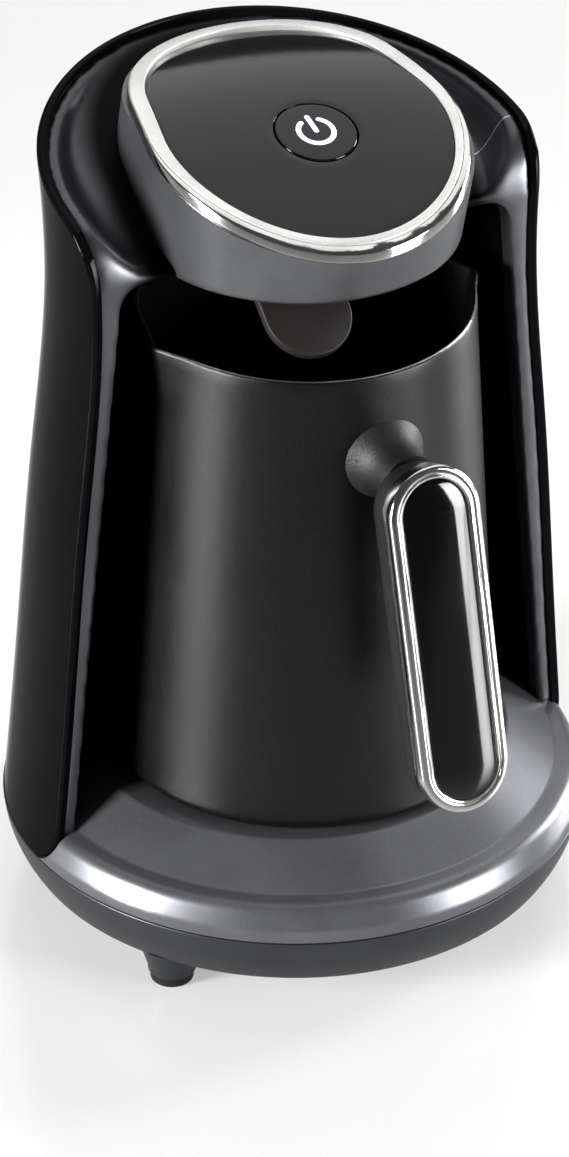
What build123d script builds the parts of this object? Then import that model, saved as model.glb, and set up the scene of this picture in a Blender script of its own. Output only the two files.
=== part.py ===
"""Electric Turkish coffee maker, built as separate pieces. Millimetres, +Z up, front is -Y.

The origin is on the floor, on the axis of the round base. The pot stands in a niche between
two wings, under a round head that carries a crowned panel with one button.
"""
import os
from math import atan, cos, degrees, radians, sin, sqrt, tan

from build123d import *

os.makedirs("parts", exist_ok=True)

# ---------------------------------------------------------------- driving dimensions
fit = 0.1                   # gap between moulded pieces that lie in each other
run_gap = 0.3               # gap between pieces that move past each other
wall = 2.5                  # moulded plastic wall
edge_break = 0.6            # small chamfer on a hard edge

# Base
base_r = 83.0               # radius at the seam between tray and cover
seam_z = 27.2               # height of that seam
foot_h = 11.4               # floor to the tray's underside
pad_h = 3.0                 # rubber pad of a foot
foot_r = 6.7                # foot radius at the pad
foot_flare = 3.0            # how much wider a foot stub is at the tray
foot_in = 14.0              # feet centres in from the base edge
foot_turn = 34.0            # feet away from the X axis, degrees
pad_inset = 0.6             # pad edge inside the foot's edge
vent_count = 7              # slots in the tray's floor
vent_pitch = 7.0
vent_l = 26.0
vent_w = 2.6
cover_screw_in = 16.6       # cover screws in from the base edge
cover_screw_turns = (59.2, -8.8)  # their places ahead of the X axis, degrees
cover_bite = 9.0            # how deep the base screws reach into the cover
tray_in = 5.8               # tray's lower edge in from the base edge
tray_swell = 1.8            # how far the tray's side bulges beyond a straight line
cover_side_h = 3.8          # upright side of the cover above the seam
shoulder_in = 7.5           # where the cover's round shoulder meets its slope
shoulder_z = 38.0
seat_in = 22.0              # edge of the cover's flat top
seat_z = 47.0

# Outer shell: how far its side stands inside the base edge, up its height
shell_wall = 3.0
shell_foot_in = 0.4
shell_low_in = 4.5
shell_low_z = 72.0
shell_mid_in = 9.9
shell_mid_z = 135.0
waist_in = 14.8
waist_z = 193.5
shell_top_in = 12.1
shell_top_z = 242.0
wing_y = -13.3              # front edge of the wings
wing_low_corner = 11.0      # radius of the wing's lower front corner
wing_top_corner = 19.0      # radius of the wing's upper front corner
lip_front_z = 223.6         # height of the shell's top edge above the axis
lip_rise = 11.5             # slope of the top edge up to the back, degrees

# Hood inside the shell
hood_setback = 0.9          # hood face behind the shell's lip
bowl_r = 72.0               # hollow round the head
bowl_y = -4.0
bowl_z = 258.0
bowl_floor_z = 207.6        # floor of that hollow at the wing edge
bowl_floor_rise = 20.0      # its slope up to the back, degrees

# Niche for the pot
niche_y = -10.0
niche_low_in = 8.2          # niche wall in from the base edge, at its foot
niche_top_in = 25.8         # and at its ceiling
niche_z = 204.5             # ceiling
niche_corner = 6.5          # round between wall and ceiling
liner_y = -2.0              # dark lining starts here
liner_top_z = 194.0

# Head and panel
panel_front_r = 39.2        # panel outline is the hull of two circles
panel_front_y = -5.0
panel_rear_r = 35.6
panel_rear_y = 12.3
panel_t = 2.5
crown_z = 242.6             # highest point of the panel
crown_y = 23.7
crown_long_r = 118.3        # crown seen from the side
crown_cross_r = 291.0       # crown seen from the front
rim_top_z = 241.6           # edge of the panel, seen from the side, is an arc
rim_top_y = 39.7
rim_r = 198.4
ring_w = 3.7                # flat top of the trim ring
ring_proud = 0.4            # ring above the panel's edge
ring_h = 3.4
bead_w = 1.2                # bead under the ring's edge
bead_drop = 1.1             # bead top below the ring's top
head_offset = 4.6           # head's side outside the panel outline
head_ref_z = 220.0          # where that offset holds
head_lean = 0.3             # rearward shift of the head's side per mm down
head_rear_more = 6.6        # how much further back the head's side reaches than the panel
floor_hole_r = 41.8         # cover under the head
floor_hole_y = 0.7
carrier_depth = 9.0         # panel carrier below the rim
carrier_wall = 2.2
head_screw_bite = 7.0
head_screw_x = 26.0
head_screw_front = -16.0
head_screw_rear = 28.0

# Button
button_y = -9.9
button_tilt = 15.8          # panel slope at the button, degrees
button_r = 11.05
button_t = 2.5
button_travel = 0.5
stem_r = 2.2
stem_l = 1.5
spring_r = 6.2
switch_gap = 0.6
switch_h = 2.0
board_t = 1.2
icon_r = 5.3
icon_w = 1.1
icon_gap = 4.6              # opening of the symbol's ring
icon_bar = 6.5              # length of the symbol's bar
icon_depth = 2.0
board_w = 44.0
board_l = 28.0
board_corner = 2.0
board_post_r = 2.2
board_post_in = 4.0         # posts in from the board's corners
spring_w = 0.8
switch_w = 6.0
switch_pin_r = 1.7
switch_pin_h = 0.5
lamp_x = 4.2
lamp_w = 1.6
lamp_l = 2.4
lamp_h = 1.4
buzzer_r = 5.5
buzzer_h = 2.2
buzzer_hole_r = 1.0
buzzer_x = -14.0
buzzer_y = 5.0

# Sensor under the head
sensor_x = -13.9
sensor_half_w = 12.3
sensor_tip_y = -42.6
sensor_tip_z = 190.2
sensor_incline = 40.0       # degrees up to the back
sensor_t = 3.0
window_r = 4.0
window_t = 1.1
sensor_board_w = 15.0
sensor_board_l = 12.0
sensor_board_y = -18.6

# Pot
pot_y = -4.8
pot_low_in = 27.6           # pot wall in from the base edge, at its foot
pot_rim_in = 36.7           # and at its rim
pot_rim_z = 184.8
pot_wall = 1.6
pot_floor_t = 3.0
pot_corner = 5.0
spout_more = 3.4            # spout tip beyond the rim's radius
spout_tip_r = 2.6
spout_h = 24.0
spout_turn = 8.0            # spouts ahead of the X axis, degrees
spout_taper = 8.0
rim_sag_r = 300.0           # rim seen from the front dips on this radius
disc_in = 11.4              # disc edge in from the pot's wall
disc_t = 1.5

# Handle
handle_out = 7.3            # centre of its face beyond the base edge
handle_z = 124.3
handle_lean = 16.5          # foot of the handle further out, degrees
handle_top_r = 13.3
handle_low_r = 13.0
handle_half_l = 48.0        # half of its length
frame_w = 3.5
frame_t = 5.5
inlay_proud = 0.8
grip_t = 10.0
grip_inset = 1.0
neck_z = 160.0
neck_r = 7.5
neck_root_r = 11.5
neck_root_l = 5.0           # length of its flared root
grip_round = 4.5
inlay_slope = 60.0          # side slope of the inlay's raised face, degrees

# Heater and electrics
plate_in = 8.4              # plate edge in from the pot's wall
plate_t = 3.0
seal_w = 2.5
element_r = 30.0
element_tube_r = 3.2
element_arc = 320.0         # degrees of ring that the element fills
bracket_t = 1.2
bracket_w = 16.0
bracket_in = 31.0           # bracket ends in from the base edge
bracket_screw_in = 6.0      # screws in from the bracket's ends
bracket_screw_l = 10.0
thermostat_r = 8.0
thermostat_x = 15.0
thermostat_ear_l = 24.0
thermostat_ear_w = 6.0
probe_r = 4.0
probe_collar_w = 1.5
probe_collar_h = 4.0
fuse_r = 2.4
fuse_l = 20.0
fuse_x = -6.0
fuse_y = -14.0
main_board_less = 3.0       # board narrower than the base radius
main_board_y = 36.0
main_board_t = 1.6
main_board_in = 41.0        # board's middle in from the base edge
board_screw_in = 5.0        # screws in from the board's corners
board_lift = 4.0
relay_in = 18.0             # relay's middle in from the board's end
relay_y = -4.0
relay_w = 19.0
relay_l = 15.5
relay_h = 13.0
capacitor_x = 2.0           # from the board's middle
capacitor_y = -8.0
capacitor_r = 6.3
capacitor_h = 12.0
terminal_in = 16.0          # terminals' middle in from the board's end
terminal_y = -4.0
terminal_w = 20.0
terminal_l = 9.0
terminal_h = 9.0
terminal_pitch = 6.0
terminal_hole_r = 1.6
terminal_hole_d = 5.0
cord_hole_r = 3.7
gland_r = 6.0
gland_flange_r = 7.2
gland_flange_t = 2.4
gland_l = 9.0
gland_z = 18.8
ribbon_w = 8.0
ribbon_t = 1.0
ribbon_bend = 4.0
wire_slot_in = 13.0         # slot in the cover for the ribbon, in from the edge
wire_slot_d = 8.0
wire_slot_room = 2.0        # slot beyond the ribbon's edges
screw_r = 1.5
screw_head_r = 2.9
screw_head_h = 1.8
boss_r = 3.6
boss_room = 1.0             # room round a boss in the piece that it meets
thread_end = 1.0            # hole beyond a screw's end

# ---------------------------------------------------------------- worked-out values
big = 130.0
over = 10.0                 # how far cutting tools reach past what they cut
below_seat = 2 * over         # how far the niche's form reaches under the seat
tray_floor_z = foot_h + wall
foot_circle_r = base_r - foot_in
cover_screw_r = base_r - cover_screw_in
tray_r = base_r - tray_in
shoulder_r = base_r - shoulder_in
seat_r = base_r - seat_in
shell_foot_r = base_r - shell_foot_in
shell_low_r = base_r - shell_low_in
shell_mid_r = base_r - shell_mid_in
waist_r = base_r - waist_in
shell_top_r = base_r - shell_top_in
niche_low_r = base_r - niche_low_in
niche_top_r = base_r - niche_top_in
pot_low_r = base_r - pot_low_in
pot_rim_r = base_r - pot_rim_in
spout_reach = pot_rim_r + spout_more
disc_r = pot_low_r - disc_in
plate_r = pot_low_r - plate_in
handle_y = -base_r - handle_out
bracket_half_l = base_r - bracket_in
main_board_x = base_r - main_board_less
main_board_mid_y = base_r - main_board_in
wire_slot_y = base_r - wire_slot_in
relay_x = relay_in - main_board_x / 2
terminal_x = main_board_x / 2 - terminal_in
tray_mid_r = (base_r + tray_r) / 2 + tray_swell
pot_z = seat_z + run_gap
plate_under_z = seat_z - plate_t
element_z = plate_under_z - element_tube_r - fit
bracket_z = element_z - element_tube_r - fit - bracket_t
board_z = tray_floor_z + board_lift
crown_axis_z = crown_z - crown_cross_r
rim_axis_z = rim_top_z - rim_r
tilt = radians(button_tilt)
crown_reach = crown_y - panel_front_y + panel_front_r + over / 2
rim_reach = rim_top_y - panel_front_y + panel_front_r + head_offset + over
stem_end = button_t + stem_l
switch_top = stem_end + switch_gap
board_top = switch_top + switch_h


def crown_height(y):
    """Height of the panel's crown on the middle line."""
    return crown_z - crown_long_r + sqrt(crown_long_r**2 - (y - crown_y) ** 2)


def rim_height(y):
    """Height of the panel's edge at a place along Y."""
    return rim_axis_z + sqrt(rim_r**2 - (y - rim_top_y) ** 2)


def wall_mid(z):
    """Outer radius of the pot at a height."""
    return pot_low_r + (pot_rim_r - pot_low_r) * (z - pot_z) / (pot_rim_z - pot_z)


button_z = crown_height(button_y)
button_plane = Plane((0, button_y, button_z), x_dir=(1, 0, 0), z_dir=(0, -sin(tilt), cos(tilt)))
lean = radians(handle_lean)
handle_plane = Plane((0, handle_y, handle_z), x_dir=(1, 0, 0), z_dir=(0, -cos(lean), sin(lean)))


# ---------------------------------------------------------------- shapes that several pieces share
def save(piece, name):
    """Label a finished piece and write it."""
    piece.label = name
    export_step(piece, f"parts/{name}.step")


def turned(points, low_z, top_z, axis_y=0.0):
    """A solid of revolution under a smooth side line given as (radius, height)."""
    with BuildPart() as body:
        with BuildSketch(Plane.XZ.offset(-axis_y)):
            with BuildLine():
                Spline(*points)
                Polyline(points[-1], (0, top_z), (0, low_z), points[0])
            make_face()
        revolve(axis=Axis((0, axis_y, 0), (0, 0, 1)))
    return body.part


def shell_body(inset):
    """The filled form of the outer shell, with its side moved in."""
    points = [
        (shell_foot_r - inset, seam_z),
        (shell_low_r - inset, shell_low_z),
        (shell_mid_r - inset, shell_mid_z),
        (waist_r - inset, waist_z),
        (shell_top_r - inset, shell_top_z),
    ]
    return turned(points, seam_z, shell_top_z)


def wing_region(inset):
    """All that lies behind the wings' front edge and under the top edge."""
    front = wing_y + inset
    rise = tan(radians(lip_rise))
    top = lip_front_z - inset
    low = seam_z
    rear = base_r + 2 * over
    turn_low = wing_low_corner
    with BuildPart() as region:
        with BuildSketch(Plane.YZ):
            with BuildLine():
                FilletPolyline(
                    (rear, low),
                    (front, low),
                    (front, top + front * rise),
                    (rear, top + rear * rise),
                    radius=(turn_low, wing_top_corner),
                )
                Line((rear, top + rear * rise), (rear, low))
            make_face()
        extrude(amount=big, both=True)
    return region.part


def base_dome(inset):
    """The filled form of the base cover."""
    with BuildPart() as dome:
        with BuildSketch(Plane.XZ):
            with BuildLine():
                side_top = (base_r - inset, seam_z + cover_side_h - inset * 0.5)
                shoulder = (shoulder_r - inset * 0.6, shoulder_z - inset * 0.8)
                seat = (seat_r - inset * 0.3, seat_z - inset)
                Line((base_r - inset, 0), side_top)
                TangentArc(side_top, shoulder, tangent=(0, 1))
                Polyline(shoulder, seat, (0, seat_z - inset), (0, 0), (base_r - inset, 0))
            make_face()
        revolve(axis=Axis.Z)
    return dome.part


def tray_bowl(inset):
    """The filled form of the base tray."""
    low = foot_h + inset
    mid = (tray_mid_r - inset, (seam_z + low) / 2)
    with BuildPart() as bowl:
        with BuildSketch(Plane.XZ):
            with BuildLine():
                ThreePointArc((tray_r - inset, low), mid, (base_r - inset, seam_z))
                Polyline((base_r - inset, seam_z), (0, seam_z), (0, low), (tray_r - inset, low))
            make_face()
        revolve(axis=Axis.Z)
    return bowl.part


def niche_body(inset):
    """The filled form of the pot niche, widened by a wall."""
    low_r = niche_low_r + inset
    top_r = niche_top_r + inset
    top_z = niche_z + inset
    corner = niche_corner + inset
    with BuildPart() as niche:
        with BuildSketch(Plane.XZ.offset(-niche_y)):
            with BuildLine():
                FilletPolyline((low_r, seat_z - below_seat), (top_r, top_z), (0, top_z), radius=corner)
                Polyline((0, top_z), (0, seat_z - below_seat), (low_r, seat_z - below_seat))
            make_face()
        revolve(axis=Axis((0, niche_y, 0), (0, 0, 1)))
    return niche.part


def panel_prism(grow, low=None, high=None):
    """An upright prism over the panel's outline."""
    low = niche_z if low is None else low
    high = crown_z + over if high is None else high
    with BuildPart() as prism:
        with BuildSketch(Plane.XY.offset(low)):
            with Locations((0, panel_front_y)):
                Circle(panel_front_r + grow)
            with Locations((0, panel_rear_y)):
                Circle(panel_rear_r + grow)
            make_hull()
        extrude(amount=high - low)
    return prism.part


def head_prism(grow, low, high):
    """The head's side: the panel's outline, leaning back on its way down."""
    with BuildPart() as prism:
        with BuildSketch(Plane.XY.offset(high)):
            shift = (head_ref_z - high) * head_lean
            with Locations((0, panel_front_y + shift)):
                Circle(panel_front_r + head_offset + grow)
            with Locations((0, panel_rear_y + head_rear_more + shift)):
                Circle(panel_rear_r + head_offset + grow)
            make_hull()
        extrude(amount=(high - low) * sqrt(1 + head_lean**2), dir=(0, head_lean, -1))
    return prism.part


def under_crown(drop):
    """All that lies under the panel's crowned surface, lowered by a depth."""
    r = crown_long_r - drop
    mid_z = crown_z - crown_long_r
    with BuildPart() as barrel:
        with BuildSketch(Plane.YZ):
            with BuildLine():
                reach = crown_reach
                top = mid_z + sqrt(r**2 - reach**2)
                ThreePointArc(
                    (crown_y - reach, top), (crown_y, mid_z + r), (crown_y + reach, top)
                )
                Polyline(
                    (crown_y + reach, top),
                    (crown_y + reach, crown_axis_z),
                    (crown_y - reach, crown_axis_z),
                    (crown_y - reach, top),
                )
            make_face()
        revolve(axis=Axis((0, 0, crown_axis_z), (0, 1, 0)))
    return barrel.part


def under_rim(drop):
    """All that lies under the arc of the panel's edge, lowered by a depth."""
    r = rim_r - drop
    reach = rim_reach
    with BuildPart() as region:
        with BuildSketch(Plane.YZ):
            with BuildLine():
                low = rim_axis_z + sqrt(r**2 - reach**2)
                a = (rim_top_y - reach, low)
                b = (rim_top_y + reach, low)
                ThreePointArc(a, (rim_top_y, rim_axis_z + r), b)
                Polyline(b, (b[0], rim_axis_z), (a[0], rim_axis_z), a)
            make_face()
        extrude(amount=big, both=True)
    return region.part


def hull_pair(plane, top_r, low_r, half_l):
    """A flat slot outline with a smaller and a larger end, on a plane."""
    with BuildSketch(plane) as outline:
        with Locations((0, half_l - top_r)):
            Circle(top_r)
        with Locations((0, low_r - half_l)):
            Circle(low_r)
        make_hull()
    return outline.sketch


def screw_set(places, seat, length, up=True):
    """Round-headed screws standing at (x, y) places, joined as one group of solids."""
    turn = 1 if up else -1
    with BuildPart() as group:
        with BuildSketch(Plane.XY.offset(seat)):
            with Locations(*places):
                Circle(screw_head_r)
        extrude(amount=-turn * screw_head_h)
        with BuildSketch(Plane.XY.offset(seat)):
            with Locations(*places):
                Circle(screw_r)
        extrude(amount=turn * length)
    return group.part


# ---------------------------------------------------------------- places that pieces share
foot_a = radians(foot_turn)
feet = [
    (foot_circle_r * cos(foot_a) * sx, foot_circle_r * sin(foot_a) * sy)
    for sx in (-1, 1)
    for sy in (-1, 1)
]
cover_screws = [
    (sx * cover_screw_r * cos(radians(turn)), -cover_screw_r * sin(radians(turn)))
    for sx in (-1, 1)
    for turn in cover_screw_turns
]
bracket_screws = [(sx * (bracket_half_l - bracket_screw_in), 0) for sx in (-1, 1)]
board_screws = [
    (
        sx * (main_board_x / 2 - board_screw_in),
        main_board_mid_y + sy * (main_board_y / 2 - board_screw_in),
    )
    for sx in (-1, 1)
    for sy in (-1, 1)
]
head_screws = [
    (sx * head_screw_x, y) for sx in (-1, 1) for y in (head_screw_front, head_screw_rear)
]
board_posts = [
    (sx * (board_w / 2 - board_post_in), sy * (board_l / 2 - board_post_in))
    for sx in (-1, 1)
    for sy in (-1, 1)
]


# ================================================================ base
def make_base():
    """The tray, its rubber feet, the sloped cover and the screws that join them."""
    outside = tray_bowl(0)
    inside = tray_bowl(wall)
    cover_in = base_dome(wall)
    with BuildPart() as posts:
        with BuildSketch(Plane.XY.offset(foot_h + wall / 2)):
            with Locations(*cover_screws):
                Circle(boss_r)
        extrude(amount=seat_z - foot_h)
        add(cover_in, mode=Mode.INTERSECT)
        with BuildSketch(Plane.XY.offset(foot_h)):
            with Locations(*bracket_screws):
                Circle(boss_r)
        extrude(amount=bracket_z - foot_h)
        with BuildSketch(Plane.XY.offset(foot_h)):
            with Locations(*board_screws):
                Circle(boss_r)
        extrude(amount=board_z - foot_h)
        with BuildSketch(Plane.XY.offset(seam_z)):
            with Locations(*cover_screws):
                Circle(boss_r + boss_room)
        extrude(amount=seat_z, mode=Mode.SUBTRACT)

    with BuildPart() as tray:
        add(outside)
        with BuildSketch(Plane.XY.offset(pad_h)):
            with Locations(*feet):
                Circle(foot_r)
        extrude(amount=foot_h - pad_h + wall, taper=-degrees(atan(foot_flare / foot_h)))
        add(inside, mode=Mode.SUBTRACT)
        add(posts.part)
        with BuildSketch(Plane.XY.offset(0)):
            with Locations(*cover_screws):
                Circle(screw_r + fit)
        extrude(amount=seam_z, mode=Mode.SUBTRACT)
        with BuildSketch(Plane.XY.offset(pad_h)):
            with Locations(*cover_screws):
                Circle(screw_head_r + fit)
        extrude(amount=foot_h - pad_h + screw_head_h, mode=Mode.SUBTRACT)
        with BuildSketch(Plane.XY.offset(foot_h + wall)):
            with Locations(*bracket_screws, *board_screws):
                Circle(screw_r)
        extrude(amount=seat_z, mode=Mode.SUBTRACT)
        add(gland_bore(fit), mode=Mode.SUBTRACT)
        with BuildSketch(Plane.XY.offset(pad_h)):
            with GridLocations(vent_pitch, vent_pitch, vent_count, 1):
                SlotOverall(vent_l, vent_w, rotation=90)
        extrude(amount=tray_floor_z, mode=Mode.SUBTRACT)
    save(tray.part, "base_tray")

    with BuildPart() as pads:
        with BuildSketch():
            with Locations(*feet):
                Circle(foot_r - pad_inset)
        extrude(amount=pad_h)
        chamfer(pads.faces().sort_by(Axis.Z)[: len(feet)].edges(), edge_break)
    save(pads.part, "rubber_feet")

    shell_inside = shell_body(shell_wall + fit)
    rebate = wing_region(-fit)
    with BuildPart() as band:
        add(rebate)
        add(shell_inside, mode=Mode.SUBTRACT)
        with BuildSketch(Plane.XY.offset(seam_z)):
            Circle(big)
        extrude(amount=seat_z, mode=Mode.INTERSECT)
    with BuildPart() as cover:
        with BuildSketch(Plane.XY.offset(seam_z)):
            Circle(big)
        extrude(amount=seat_z)
        add(base_dome(0), mode=Mode.INTERSECT)
        add(cover_in, mode=Mode.SUBTRACT)
        with BuildSketch(Plane.XY.offset(seam_z + run_gap)):
            with Locations(*cover_screws):
                Circle(boss_r)
        extrude(amount=seat_z - seam_z)
        add(base_dome(0), mode=Mode.INTERSECT)
        add(band.part, mode=Mode.SUBTRACT)
        with BuildSketch(Plane.XY.offset(seam_z)):
            with Locations(*cover_screws):
                Circle(screw_r)
        extrude(amount=cover_bite, mode=Mode.SUBTRACT)
        with BuildSketch(Plane.XY.offset(seam_z)):
            Circle(plate_r + seal_w)
        extrude(amount=seat_z, mode=Mode.SUBTRACT)
        with BuildSketch(Plane.XY.offset(seam_z)):
            with Locations((0, wire_slot_y)):
                Rectangle(ribbon_w + 2 * wire_slot_room, wire_slot_d)
        extrude(amount=seat_z, mode=Mode.SUBTRACT)
    save(cover.part, "base_cover")
    head_z = foot_h + screw_head_h
    save(screw_set(cover_screws, head_z, seam_z + cover_bite - thread_end - head_z), "base_screws")


# ================================================================ heater and base electrics
def make_heater():
    """The plate the pot stands on, with what heats it and what watches it."""
    with BuildPart() as plate:
        with BuildSketch(Plane.XY.offset(plate_under_z)):
            Circle(plate_r)
        extrude(amount=plate_t)
        chamfer(plate.faces().sort_by(Axis.Z)[-1].edges(), edge_break)
        with BuildSketch(Plane.XY.offset(plate_under_z)):
            Circle(probe_r + fit)
        extrude(amount=plate_t, mode=Mode.SUBTRACT)
    save(plate.part, "heater_plate")

    with BuildPart() as seal:
        with BuildSketch(Plane.XY.offset(seat_z - wall)):
            Circle(plate_r + seal_w)
            Circle(plate_r, mode=Mode.SUBTRACT)
        extrude(amount=wall - run_gap)
    save(seal.part, "plate_seal")

    with BuildPart() as element:
        with BuildSketch(Plane.XZ):
            with Locations((element_r, element_z)):
                Circle(element_tube_r)
        revolve(axis=Axis.Z, revolution_arc=element_arc)
    element_turn = 90 + (360 - element_arc) / 2
    save(element.part.rotate(Axis.Z, element_turn), "heating_element")

    with BuildPart() as bracket:
        with BuildSketch(Plane.XY.offset(bracket_z)):
            SlotOverall(bracket_half_l * 2, bracket_w)
            with Locations(*bracket_screws):
                Circle(screw_r + fit, mode=Mode.SUBTRACT)
        extrude(amount=bracket_t)
    save(bracket.part, "heater_bracket")
    top = bracket_z + bracket_t + fit
    save(screw_set(bracket_screws, top, bracket_screw_l, up=False), "bracket_screws")

    with BuildPart() as thermostat:
        with BuildSketch(Plane.XY.offset(top)):
            with Locations((thermostat_x, 0)):
                Circle(thermostat_r)
                Rectangle(thermostat_ear_l, thermostat_ear_w)
        extrude(amount=bracket_t)
        with BuildSketch(Plane.XY.offset(top)):
            with Locations((thermostat_x, 0)):
                Circle(thermostat_r)
        extrude(amount=plate_under_z - top - fit)
    save(thermostat.part, "thermostat")

    with BuildPart() as probe:
        collar = Plane.XY.offset(plate_under_z - probe_collar_h)
        with BuildSketch(collar):
            Circle(probe_r + probe_collar_w)
        extrude(amount=probe_collar_h - fit)
        with BuildSketch(collar):
            Circle(probe_r)
        extrude(amount=plate_t + probe_collar_h)
    save(probe.part, "temperature_probe")

    with BuildPart() as fuse:
        with BuildSketch(Plane.YZ.offset(fuse_x - fuse_l / 2)):
            with Locations((fuse_y, plate_under_z - fuse_r - fit)):
                Circle(fuse_r)
        extrude(amount=fuse_l)
    save(fuse.part, "thermal_fuse")


def make_electrics():
    """The main board with its parts, the cord inlet and the ribbon up to the head."""
    on_board = Plane((0, main_board_mid_y, board_z + main_board_t))
    with BuildPart() as board:
        with BuildSketch(Plane.XY.offset(board_z)):
            with Locations((0, main_board_mid_y)):
                RectangleRounded(main_board_x, main_board_y, board_corner)
            with Locations(*board_screws):
                Circle(screw_r + fit, mode=Mode.SUBTRACT)
        extrude(amount=main_board_t)
    save(board.part, "main_board")
    screw_l = board_lift + main_board_t
    save(screw_set(board_screws, on_board.origin.Z, screw_l, up=False), "board_screws")

    with BuildPart() as relay:
        with BuildSketch(on_board):
            with Locations((relay_x, relay_y)):
                RectangleRounded(relay_w, relay_l, edge_break)
        extrude(amount=relay_h)
    save(relay.part, "relay")
    with BuildPart() as capacitor:
        with BuildSketch(on_board):
            with Locations((capacitor_x, capacitor_y)):
                Circle(capacitor_r)
        extrude(amount=capacitor_h)
        chamfer(capacitor.faces().sort_by(Axis.Z)[-1].edges(), edge_break)
    save(capacitor.part, "capacitor")
    with BuildPart() as terminals:
        with BuildSketch(on_board):
            with Locations((terminal_x, terminal_y)):
                Rectangle(terminal_w, terminal_l)
        extrude(amount=terminal_h)
        with BuildSketch(on_board.offset(terminal_h)):
            with Locations((terminal_x, terminal_y)):
                with GridLocations(terminal_pitch, terminal_pitch, 3, 1):
                    Circle(terminal_hole_r)
        extrude(amount=-terminal_hole_d, mode=Mode.SUBTRACT)
    save(terminals.part, "terminal_block")

    outside = Plane.XZ.offset(-tray_mid_r - gland_flange_t)
    length = gland_flange_t + gland_l
    with BuildPart() as gland:
        with BuildSketch(outside):
            with Locations((0, gland_z)):
                Circle(gland_flange_r)
        extrude(amount=gland_flange_t + wall)
        add(tray_bowl(-fit), mode=Mode.SUBTRACT)
        with BuildSketch(outside):
            with Locations((0, gland_z)):
                Circle(gland_r)
        extrude(amount=length)
        with BuildSketch(outside):
            with Locations((0, gland_z)):
                Circle(cord_hole_r)
        extrude(amount=length, mode=Mode.SUBTRACT)
    save(gland.part, "cord_gland")

    plug_z = on_board.origin.Z + ribbon_t / 2 + fit
    slope_y = wire_slot_y - ribbon_bend
    with BuildPart() as ribbon:
        with BuildLine(Plane.YZ) as route:
            FilletPolyline(
                (main_board_mid_y + capacitor_r, plug_z),
                (slope_y, plug_z + ribbon_bend),
                (wire_slot_y, seam_z + wire_slot_d),
                (wire_slot_y, seat_z + over),
                (wire_slot_y - over, niche_z + ribbon_bend),
                (floor_hole_r + wire_slot_d, head_ref_z + wall),
                (crown_y, head_ref_z + ribbon_bend),
                radius=ribbon_bend,
            )
        with BuildSketch(Plane(route.line @ 0, x_dir=(1, 0, 0), z_dir=route.line % 0)):
            Rectangle(ribbon_w, ribbon_t)
        sweep()
    save(ribbon.part, "head_ribbon")


def gland_bore(room):
    """The round hole in the tray that the cord gland goes through."""
    with BuildPart() as bore:
        with BuildSketch(Plane.XZ.offset(-base_r - over)):
            with Locations((0, gland_z)):
                Circle(gland_r + room)
        extrude(amount=over + base_r - tray_mid_r + gland_l + wall)
    return bore.part


# ================================================================ shell, hood and niche
def slanted_floor(drop):
    """All that lies above the sloping floor of the hollow round the head."""
    rise = tan(radians(bowl_floor_rise))
    near = bowl_floor_z - drop
    with BuildPart() as above:
        with BuildSketch(Plane.YZ):
            with BuildLine():
                Polyline(
                    (wing_y - base_r, near - base_r * rise),
                    (wing_y + big, near + big * rise),
                    (wing_y + big, near + 2 * big),
                    (wing_y - base_r, near + 2 * big),
                    (wing_y - base_r, near - base_r * rise),
                )
            make_face()
        extrude(amount=big, both=True)
    return above.part


def hood_body(inset, spread, rim_drop):
    """The filled form of the hood: wings, hollow and head, without the pot niche."""
    with BuildPart() as bowl:
        with Locations((0, bowl_y, bowl_z)):
            Sphere(bowl_r + inset)
        add(slanted_floor(inset), mode=Mode.INTERSECT)
    with BuildPart() as head:
        add(head_prism(-inset, niche_z + inset, crown_z + over))
        add(under_rim(rim_drop), mode=Mode.INTERSECT)
        add(shell_body(shell_wall + fit - spread), mode=Mode.INTERSECT)
    with BuildPart() as body:
        add(shell_body(shell_wall + fit - spread))
        add(wing_region(hood_setback + inset), mode=Mode.INTERSECT)
        add(bowl.part, mode=Mode.SUBTRACT)
        add(head.part)
        add(niche_body(inset), mode=Mode.SUBTRACT)
        add(base_dome(0), mode=Mode.SUBTRACT)
    return body.part


def make_housing():
    """The outer shell, the hood with the head's side, and the dark niche lining."""
    with BuildPart() as shell:
        add(shell_body(0))
        add(shell_body(shell_wall), mode=Mode.SUBTRACT)
        add(wing_region(0), mode=Mode.INTERSECT)
    save(shell.part, "outer_shell")

    filled = hood_body(0, 0, ring_h)
    hollow = hood_body(wall, 2 * shell_wall, -over / 2)
    with BuildPart() as liner_zone:
        with BuildSketch(Plane.XY.offset(seam_z)):
            with Locations((0, liner_y + big / 2)):
                Rectangle(2 * big, big)
        extrude(amount=liner_top_z - seam_z)
    with BuildPart() as liner:
        add(niche_body(wall))
        add(niche_body(0), mode=Mode.SUBTRACT)
        add(liner_zone.part, mode=Mode.INTERSECT)
        add(base_dome(0), mode=Mode.SUBTRACT)
    save(liner.part, "niche_liner")

    with BuildPart() as hood:
        add(filled)
        add(hollow, mode=Mode.SUBTRACT)
        add(liner_zone.part, mode=Mode.SUBTRACT)
        with BuildSketch(Plane.XY.offset(niche_z - over)):
            with Locations((0, floor_hole_y)):
                Circle(floor_hole_r + fit)
        extrude(amount=wall + over + run_gap, mode=Mode.SUBTRACT)
    save(hood.part, "inner_hood")

    with BuildPart() as floor:
        with BuildSketch(Plane.XY.offset(niche_z)):
            with Locations((0, floor_hole_y)):
                Circle(floor_hole_r)
            with Locations(*head_screws):
                Circle(screw_r + fit, mode=Mode.SUBTRACT)
        extrude(amount=wall)
    save(floor.part, "head_floor")


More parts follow.
